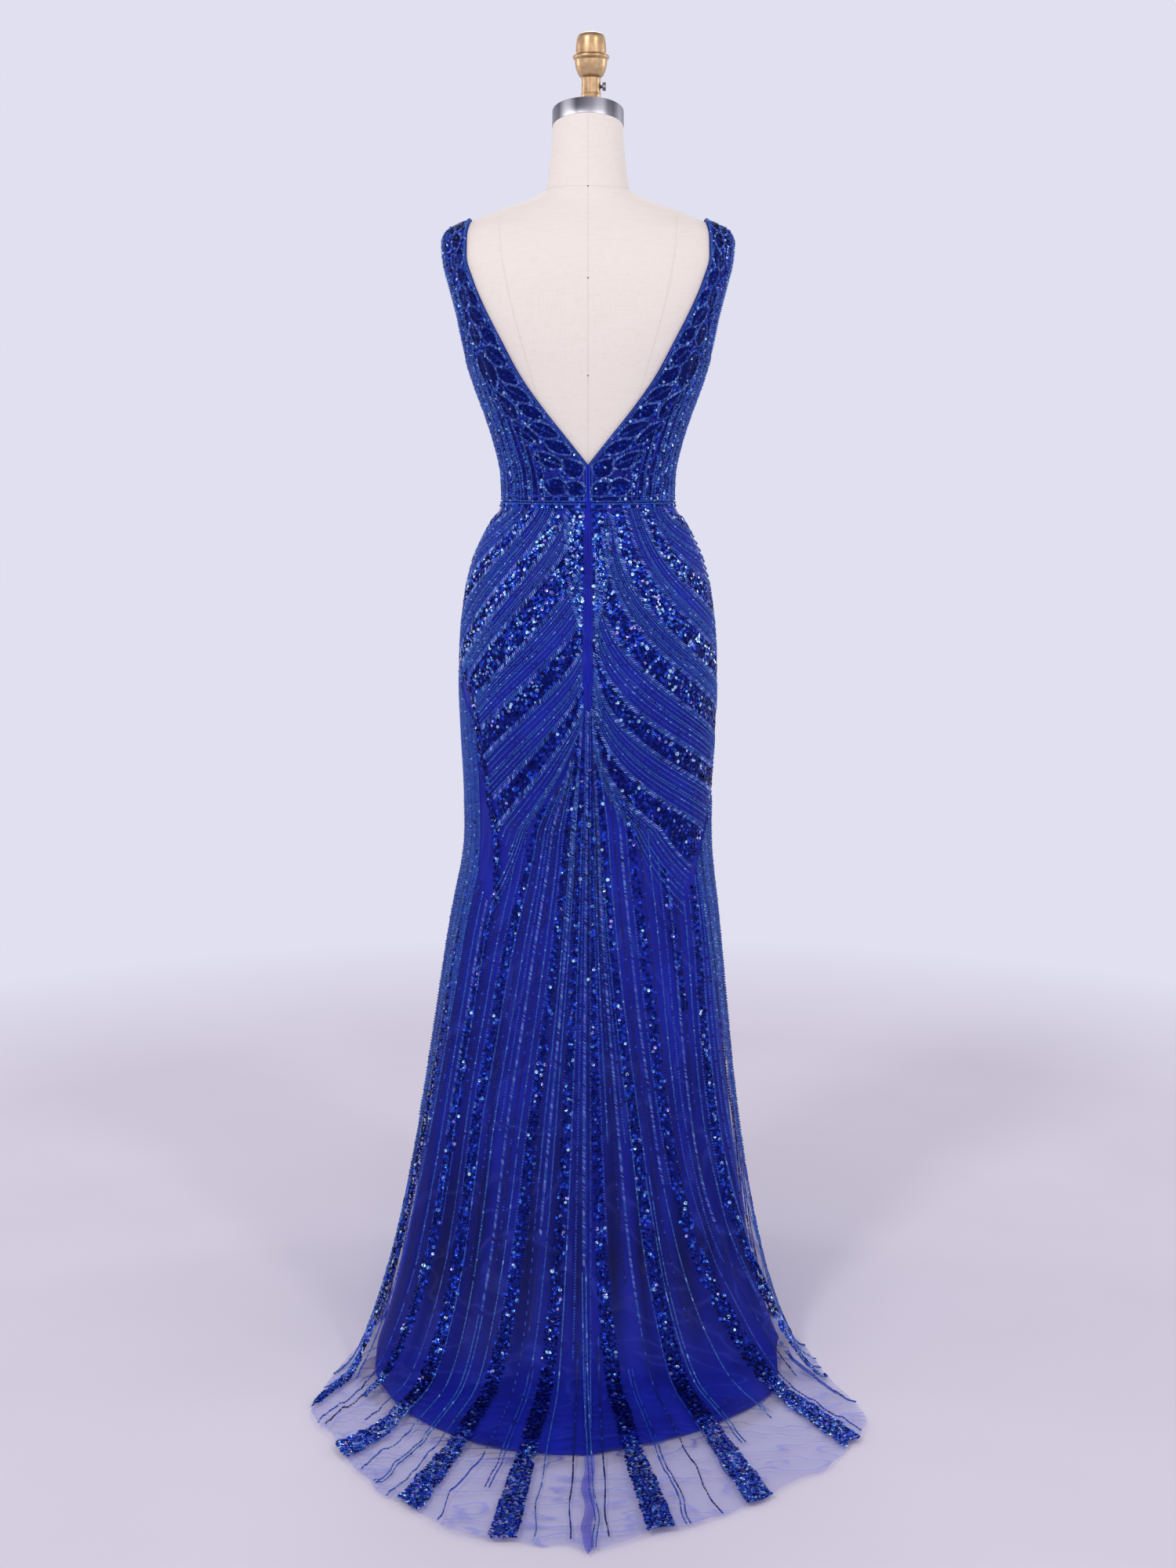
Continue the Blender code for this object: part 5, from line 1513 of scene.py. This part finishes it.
# %% Beside the centre seams
FLANK, FLANK_ROWS, FLANK_SWAY = 2.7, (1.72, 2.93), 0.25
SEAM_STRING_ASIDE, SEAM_STRING_END = 0.0032, 1.9

# Two dark lines flank the train's centre seam.
for angle in (-FLANK, FLANK):
    row = np.linspace(*FLANK_ROWS, 200)
    sway = FLANK_SWAY * np.sin(row * 8 + angle) * np.clip(row - 1.8, 0, 1)
    skirt_work.line("bugles", "navy_string", row, angle + sway, BUGLE_PITCH, size=1.1)

# A string of beads on each side of the centre seams.
for centre in (0, 180):
    for aside in (-SEAM_STRING_ASIDE, SEAM_STRING_ASIDE):
        row = np.linspace(STRINGS_TOP_ROW, SEAM_STRING_END, 300)
        skirt_work.line("beads", "royal_string", row, wrapped(np.full(300, centre + 1e-3)), BEAD_PITCH, aside=aside)
print("on the skirt so far:", skirt_work.counted())

# %% [markdown]
# ## The hips' swags
#
# Over the hips the lines leave the centre seam and sweep out and down to the sides, which draws in the waist.
# They lie close together at the seam and fan out, so a bundle of strings starts as one or two and grows to four.
# Bundles take turns with ropes of slanted bugles and fields of loose sequins, brightest below the waist. The same
# swags are worked from the centre front, mirrored, so the design closes at the side seams.

# %% The table of swags
# A sweep from the centre to the side: its angle and row number at the start and at the end.
Swag = namedtuple("Swag", "angle row end_angle end_row")
SWAGS = [
    Swag(*row) for row in (
        (66, 0.022, 91, 0.060), (47, 0.022, 91, 0.190), (38, 0.022, 91, 0.340), (28, 0.022, 91, 0.455),
        (18, 0.026, 91, 0.545), (10, 0.050, 91, 0.630), (4.5, 0.110, 91, 0.715), (2.5, 0.260, 91, 0.800),
        (2.5, 0.400, 88, 0.885), (2.2, 0.500, 76, 0.970), (2.0, 0.575, 62, 1.040), (1.6, 0.640, 46, 1.110),
    )
]
FIELD_SHARES = (0.34, 0.44, 0.26, 0.40, 0.30, 0.46, 0.24)
SWEEPS = {-1: (1.22, 0.86), 1: (1.72, 0.64)}
BRIGHT_ABOVE, FIELD_ABOVE = 5, 8
BUNDLE = 4
# Shares of the way between two swags: the free edge, and where the rope and the strings lie beside the sequins.
SWAG_EDGE, ROPE_FROM, STRINGS_FROM = 0.04, 0.09, 0.20
# The edge of the plain side panel on the left, by row number.
SIDE_PANEL = table("row angle", (0.0, -97), (0.50, -72), (0.62, -58), (0.82, -52), (1.00, -45), (1.10, -41))
BOTH_SIDES = [(centre, side) for centre in (0, 180) for side in (-1, 1)]
share = np.linspace(0, 1, 240)


def swag_line(swag, side, centre):
    bend, fall = SWEEPS[side]
    angle = swag.angle + (swag.end_angle - swag.angle) * share**bend
    row = swag.row + (swag.end_row - swag.row) * share**fall
    angle = np.minimum(angle, 90.0) * side
    return row, wrapped(angle if centre == 0 else 180 - angle)


def swag_region(first, second, number, shift):
    """Bead strings, a rope and sequins between two swags, in an order that turns about from one to the next."""
    mix = "bright" if number < BRIGHT_ABOVE else "field" if number < FIELD_ABOVE else "deep"
    sequins = FIELD_SHARES[(number * 2 + shift) % len(FIELD_SHARES)]
    if number % 2:
        strings(skirt_work, first, second, SWAG_EDGE, 1 - STRINGS_FROM - sequins, BUNDLE)
        rope(skirt_work, between(first, second, 1 - ROPE_FROM - sequins))
        fill(skirt_work, first, second, 1.0 - sequins, 1.0, mix)
    else:
        fill(skirt_work, first, second, 0.0, sequins, mix)
        rope(skirt_work, between(first, second, sequins + ROPE_FROM))
        strings(skirt_work, first, second, sequins + STRINGS_FROM, 1 - SWAG_EDGE, BUNDLE)


print("swags to a side:", len(SWAGS))

# %% Beading the hips
LAST_STRINGS, LAST_STRINGS_APART = 3, 0.019
CENTRE_LEAF_ROWS, CENTRE_LEAF_INNER, CENTRE_LEAF_ROPE, CENTRE_LEAF_WIDTH = (0.022, 0.37), 2.0, 2.2, 11

for centre, side in BOTH_SIDES:
    for number, (upper, lower) in enumerate(zip(SWAGS, SWAGS[1:])):
        first, second = swag_line(upper, side, centre), swag_line(lower, side, centre)
        if centre == 0 and side < 0 and number >= BRIGHT_ABOVE:
            edge = smooth_through(*SIDE_PANEL.values(), (first[0] + second[0]) / 2)
            inside = (first[1] + second[1]) / 2 > edge
            first, second = [[values[inside] for values in line] for line in (first, second)]
        swag_region(first, second, number, side + 1)
    # Three more strings follow the lowest swag.
    for number in range(LAST_STRINGS):
        row, angle = swag_line(SWAGS[-1], side, centre)
        row = row + LAST_STRINGS_APART * (number + 0.4) * share
        skirt_work.line("beads", STRING_MIXES[number], row, angle, BEAD_PITCH * 1.1, size=1.1, keep=share * 9)

# The slim leaf on the centre seam, between the first swags, has ropes for edges.
row, rounding = np.linspace(*CENTRE_LEAF_ROWS, 160), np.cos(np.linspace(0.15, 1, 160) * math.pi / 2) ** 0.8
inner, outer = np.full(160, CENTRE_LEAF_INNER), CENTRE_LEAF_ROPE + CENTRE_LEAF_WIDTH * rounding
for centre, side in BOTH_SIDES:
    first, second = [(row, wrapped(centre + side * angle)) for angle in (inner, outer)]
    fill(skirt_work, first, second, 0.0, 0.82, "bright")
    rope(skirt_work, between(first, second, 0.94))
print("on the skirt so far:", skirt_work.counted())

# %% The sides under the swags
SIDE_TOP_ROW, SIDE_TOP_FALL = 0.52, 0.16
SIDE_FROM, SIDE_TO, SIDE_COUNT = -88.5, -60.0, 17
SIDE_BAND, SIDE_BAND_END = (4.5, 0.6), 1.12
SIDE_END, SIDE_UNEVEN, OTHER_SIDES_TOP = 1.30, 0.10, 0.9

# Strings lie close together here, and a band of sequins follows the left panel's edge.
row = np.linspace(SIDE_TOP_ROW, SIDE_BAND_END, 220)
panel_edge = smooth_through(*SIDE_PANEL.values(), row)
fill(skirt_work, (row, panel_edge - SIDE_BAND[0]), (row, panel_edge - SIDE_BAND[1]), 0.0, 1.0, "field")
for number, angle in enumerate(np.linspace(SIDE_FROM, SIDE_TO, SIDE_COUNT)):
    top = SIDE_TOP_ROW + SIDE_TOP_FALL * (angle - SIDE_FROM) / (SIDE_TO - SIDE_FROM)
    row = np.linspace(top, SIDE_END + SIDE_UNEVEN * math.sin(number * 2.1), 280)
    mix = STRING_MIXES[number % 3]
    skirt_work.line("beads", mix, row, np.full(280, angle), BEAD_PITCH, spread=0.05)
    row = row[row > OTHER_SIDES_TOP]
    for other in (-angle, 180 + angle, 180 - angle)[: 1 if number % 2 else 3]:
        there = np.full(len(row), float(wrapped(other)))
        free = below_swags(row, there)
        skirt_work.line("beads", mix, row[free], there[free], BEAD_PITCH, spread=0.05)
print("on the skirt so far:", skirt_work.counted())

# %% Along the waist seam
# Two strings and a line of sequins between them, each by its row number.
WAIST_LINES = (
    (0.005, "beads", "steel_string", BEAD_PITCH, 0.0),
    (0.013, "sequins", "field", SEQUIN_PITCH, 0.1),
    (0.020, "beads", "royal_string", BEAD_PITCH, 0.0),
)
CLEAR_OF_ZIP = 1.7
for row, kind, mix, pitch, loose in WAIST_LINES:
    for low, high in ((CLEAR_OF_ZIP, 179.9), (-179.9, -CLEAR_OF_ZIP)):
        skirt_work.line(kind, mix, np.full(500, row), np.linspace(low, high, 500), pitch, loose=loose)
print("on the skirt:", skirt_work.counted())

# %% The train's seam, and the skirt's beadwork as meshes
SEAM_STRIP = (-0.0060, -0.0022, 0.0022, 0.0060)
SEAM_STRIP_SWAY, SEAM_STRIP_RISE, SEAM_STRIP_WAVE = 0.0022, 0.0012, 0.0006

# The centre seam of the loose net: its two allowances lie folded to one side, and show as a darker strip.
row = np.linspace(1.98, 3.0, 60)
steps = skirt.steps_aside(row, np.zeros(60))[1]
sway = SEAM_STRIP_SWAY * np.sin(row * 13) * steps
on_net = np.minimum(row, 2.999)
strip = np.stack([skirt.at(on_net, sway + steps * aside)[0] for aside in SEAM_STRIP], axis=1)
strip[..., 2] += SEAM_STRIP_RISE + SEAM_STRIP_WAVE * np.sin(row * 40)[:, None]
# it ends in a loose tip past the hem
strip[-6:, :, 1] -= np.linspace(0.001, 0.009, 6)[:, None]
strip[-4:, :, 0] *= np.linspace(0.9, 0.15, 4)[:, None]
train_seam = cloth("train_seam_allowance", strip, seam_net)

trims = {}
for panel, low, high, _ in PANELS:
    if panel == "front":
        trims[f"skirt_{panel}"] = skirt_work.make(f"skirt_{panel}", lambda col: np.abs(wrapped(col)) >= low)
    else:
        trims[f"skirt_{panel}"] = skirt_work.make(
            f"skirt_{panel}", lambda col: (wrapped(col - low) >= 0) & (wrapped(col - low) < high - low)
        )

# %% [markdown]
# ## The bodice's leaves
#
# A chain of leaves climbs each neckline edge, small ones at the edge and large ones inside. Each leaf is filled
# with small dark sequins and outlined with a rope of bugles, and the large ones have a vein. From the armhole
# and the side seam, strings run down close together until they meet the leaves. Loose small sequins fill the
# ground between the leaves.

# %% The table of leaves
# A leaf, in mm: how far up the edge from the waist, how far in from it, length, width; and tilt in degrees.
Leaf = namedtuple("Leaf", "up_edge inwards length width tilt")
LEAVES = [
    Leaf(*row) for row in (
        (455, 16, 24, 19, 22), (448, 31, 24, 14, -14), (426, 18, 29, 21, -16), (421, 33, 22, 13, 12),
        (396, 22, 28, 20, 12), (369, 16, 29, 20, -12), (366, 28, 25, 15, 10), (341, 18, 32, 23, 16),
        (314, 32, 34, 22, -20), (311, 14, 30, 20, 14), (284, 22, 35, 26, 25), (258, 42, 36, 21, -14),
        (255, 16, 31, 23, 30), (226, 20, 36, 26, 36), (206, 46, 58, 33, -8), (196, 18, 32, 24, 34),
        (168, 20, 35, 26, 42), (150, 50, 49, 30, 12), (139, 18, 32, 24, 40), (109, 20, 35, 26, 46),
        (104, 46, 43, 26, 24), (80, 18, 31, 23, 38), (58, 42, 38, 25, 52), (46, 16, 31, 23, 18),
        (20, 36, 31, 23, 76), (18, 14, 27, 19, 60),
    )
]
LEAF_POINT, WITHIN_PANEL = 0.75, (0.01, 0.99)


def row_widths(surface):
    return np.linalg.norm(np.diff(surface.points, axis=1), axis=-1).sum(axis=1)


def bodice_place(surface, sign, up_edge, inwards):
    """Row and column numbers of a place so far up the edge from the waist and so far in from it, in metres."""
    edge = surface.points[:, 0 if sign > 0 else -1]
    row = np.interp(up_edge, distance_along(edge[::-1]), surface.rows[::-1])
    return row, sign * np.clip(inwards / np.interp(row, surface.rows, row_widths(surface)), *WITHIN_PANEL)



def leaf_half_width(leaf, share):
    return leaf.width / 2000 * np.sin(np.clip(share, 0, 1) * math.pi) ** LEAF_POINT


def on_leaf(surface, sign, leaf, x, y):
    """Row, column and direction of places on a leaf, x along it from its middle and y across it, in metres."""
    tilt = math.radians(leaf.tilt)
    found = []
    for ahead in (0.0, 0.0005):
        up_edge = leaf.up_edge / 1000 + (x + ahead) * math.cos(tilt) - y * math.sin(tilt)
        inwards = leaf.inwards / 1000 + (x + ahead) * math.sin(tilt) + y * math.cos(tilt)
        found.append(bodice_place(surface, sign, up_edge, inwards))
    here, there = (surface.at(*place)[0] for place in found)
    return *found[0], unit(there - here + 1e-9)


print("leaves along a neckline:", len(LEAVES))

# %% Sewing one leaf
LEAF_GRAIN, LEAF_SEQUIN, LEAF_REACH, LEAF_EDGE = 0.0025, 0.72, 0.015, 0.0010
VEINED_LENGTH, LEAF_SLIP = 34, 0.0003


def sew_leaf(work, sign, leaf):
    """Small dark sequins set like bricks, a rope round them, and a vein in a large leaf."""
    half = leaf.length / 2000
    x, y = np.meshgrid(np.arange(-half, half, LEAF_GRAIN), np.arange(-LEAF_REACH, LEAF_REACH, LEAF_GRAIN * 0.95))
    x = (x + LEAF_GRAIN / 2 * (np.arange(x.shape[0])[:, None] % 2)).ravel()
    y = y.ravel() + chance.normal(0, LEAF_SLIP, x.size)
    inside = np.abs(y) < leaf_half_width(leaf, x / half / 2 + 0.5) - LEAF_EDGE
    row, col, along = on_leaf(work.surface, sign, leaf, x[inside], y[inside])
    work.add("sequins", "velvet", row, col, along, size=LEAF_SEQUIN, loose=0.09)
    for flank in (-1, 1):
        along_leaf = np.linspace(0.0, 1.0, 60)
        across_leaf = flank * (leaf_half_width(leaf, along_leaf) + LEAF_EDGE)
        row, col, _ = on_leaf(work.surface, sign, leaf, (along_leaf - 0.5) * half * 2, across_leaf)
        rope(work, (row, col), "edge_string", 0.62)
    if leaf.length >= VEINED_LENGTH:
        row, col, _ = on_leaf(work.surface, sign, leaf, np.linspace(-0.8, 0.8, 40) * half, np.zeros(40))
        rope(work, (row, col), "rope", 0.6)

# %% Strings beside the leaves
SIDE_SWAY, SIDE_STRINGS_MOST = 0.012, 46
SIDE_STRING_FIRST, SIDE_STRING_GAP, SIDE_SEQUIN_PITCH = 0.0070, 0.0034, 0.0031
LEAF_ZONE, LEAF_ZONE_GROWTH, STRAP_LEAF_SHARE = 0.050, 0.022, 0.62
SIDE_SEQUINS = {1: "velvet", 3: "bright"}
SIDE_BEADS = ("steel_string", "navy_string", "royal_string", "navy_string", "steel_string")
EDGINGS = (0.0016, 0.0042)
WAIST_EDGINGS = (
    (0.0015, "beads", "steel_string", BEAD_PITCH),
    (0.0045, "sequins", "field", SEQUIN_PITCH),
    (0.0078, "beads", "royal_string", BEAD_PITCH),
)


def sew_strings(work, sign):
    """Strings and lines of sequins down the side, and edgings round the panel."""
    rows = np.linspace(0.004, 0.996, 300)
    widths = np.interp(rows, work.surface.rows, row_widths(work.surface))
    leaves_end = np.minimum(LEAF_ZONE + LEAF_ZONE_GROWTH * (1 - rows) ** 2, widths * STRAP_LEAF_SHARE)
    for number in range(SIDE_STRINGS_MOST):
        from_side = SIDE_STRING_FIRST + SIDE_STRING_GAP * number
        free = widths - from_side > leaves_end + 0.003 * math.sin(number * 1.9)
        if free.sum() < 8:
            continue
        there = sign * (1 - from_side / widths[free])
        sway = SIDE_SWAY * np.sin(rows[free] * 11 + number * 0.9)
        there = sign * np.clip(np.abs(there) + sway, *WITHIN_PANEL)
        turn = number % 5
        if turn in SIDE_SEQUINS:
            how = {"pitch": SIDE_SEQUIN_PITCH, "size": 0.85, "loose": 0.2, "slip": 0.0007}
            work.line("sequins", SIDE_SEQUINS[turn], rows[free], there, **how)
        else:
            how = {"pitch": BEAD_PITCH, "size": 1.1, "spread": 0.12, "slip": 0.0004}
            work.line("beads", SIDE_BEADS[turn], rows[free], there, **how)
    for edging in EDGINGS:
        for there in (edging / widths, 1 - edging / widths):
            work.line("beads", "steel_string", rows, sign * there, BEAD_PITCH, size=0.9, spread=0.05)
    for above, kind, mix, pitch in WAIST_EDGINGS:
        row = np.full(200, float(bodice_place(work.surface, sign, above, 0.05)[0]))
        work.line(kind, mix, row, sign * np.linspace(0.012, 0.988, 200), pitch)

# %% The ground between the leaves
GROUND_SEQUINS = 1050
GROUND_ENDS, GROUND_REACH = (0.010, 0.462), (0.005, 0.058)


def sew_ground(work, sign):
    """Loose small sequins, left out where a leaf lies."""
    up_edge = chance.uniform(*GROUND_ENDS, GROUND_SEQUINS)
    inwards = chance.uniform(*GROUND_REACH, GROUND_SEQUINS)
    on_ground = np.full(GROUND_SEQUINS, True)
    for leaf in LEAVES:
        tilt = math.radians(leaf.tilt)
        dx, dy = up_edge - leaf.up_edge / 1000, inwards - leaf.inwards / 1000
        x, y = dx * math.cos(tilt) + dy * math.sin(tilt), dy * math.cos(tilt) - dx * math.sin(tilt)
        beside = np.abs(y) > leaf_half_width(leaf, x / leaf.length * 1000 + 0.5)
        on_ground &= (np.abs(x) > leaf.length / 2000) | beside
    row, col = bodice_place(work.surface, sign, up_edge[on_ground], inwards[on_ground])
    work.add("sequins", "bright", row, col, unit(np.tile([0.3, 0.1, 1.0], (len(row), 1))), size=0.78, loose=0.2)


for name, (surface, sign) in bodice.items():
    work = Beadwork(surface)
    for leaf in LEAVES:
        sew_leaf(work, sign, leaf)
    sew_strings(work, sign)
    sew_ground(work, sign)
    trims[f"bodice_{name}"] = work.make(f"bodice_{name}")

# %% [markdown]
# ## What each piece is
#
# Every piece rides on the body of the frame that it belongs to, and stands for the CAD nodes that it covers.

# %% Bodies, and the CAD parts that the pieces stand for
GOWN = "gown_on_form"
for panel, (made, grid) in sheets.items():
    kind = panel.split("_")[0]
    pieces = trims.get(panel, [])
    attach(made, GOWN)
    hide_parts(panel)
    for trim in pieces:
        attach(trim, GOWN)
    (width, length), area = cut_size(grid)

for piece, body, slot, nodes in (
    (zip_rolls, GOWN, "blue_lining", ()),
    (form_cover, GOWN, "cream_linen", ("form_torso",)),
    (train_seam, GOWN, "beaded_tulle", ()),
    (form_seams, GOWN, "cream_linen", ()),
    (form_pins, GOWN, "steel", ()),
    (collar, GOWN, "steel", ("form_neck_cap",)),
    (finial, GOWN, "gold_paint", ("form_finial",)),
    (screw, "thumb_screw", "steel", ("clamp_screw",)),
):
    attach(piece, body)
    if nodes:
        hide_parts(*nodes)
print("sheets of cloth:", len(sheets), "of which beaded:", len(trims))
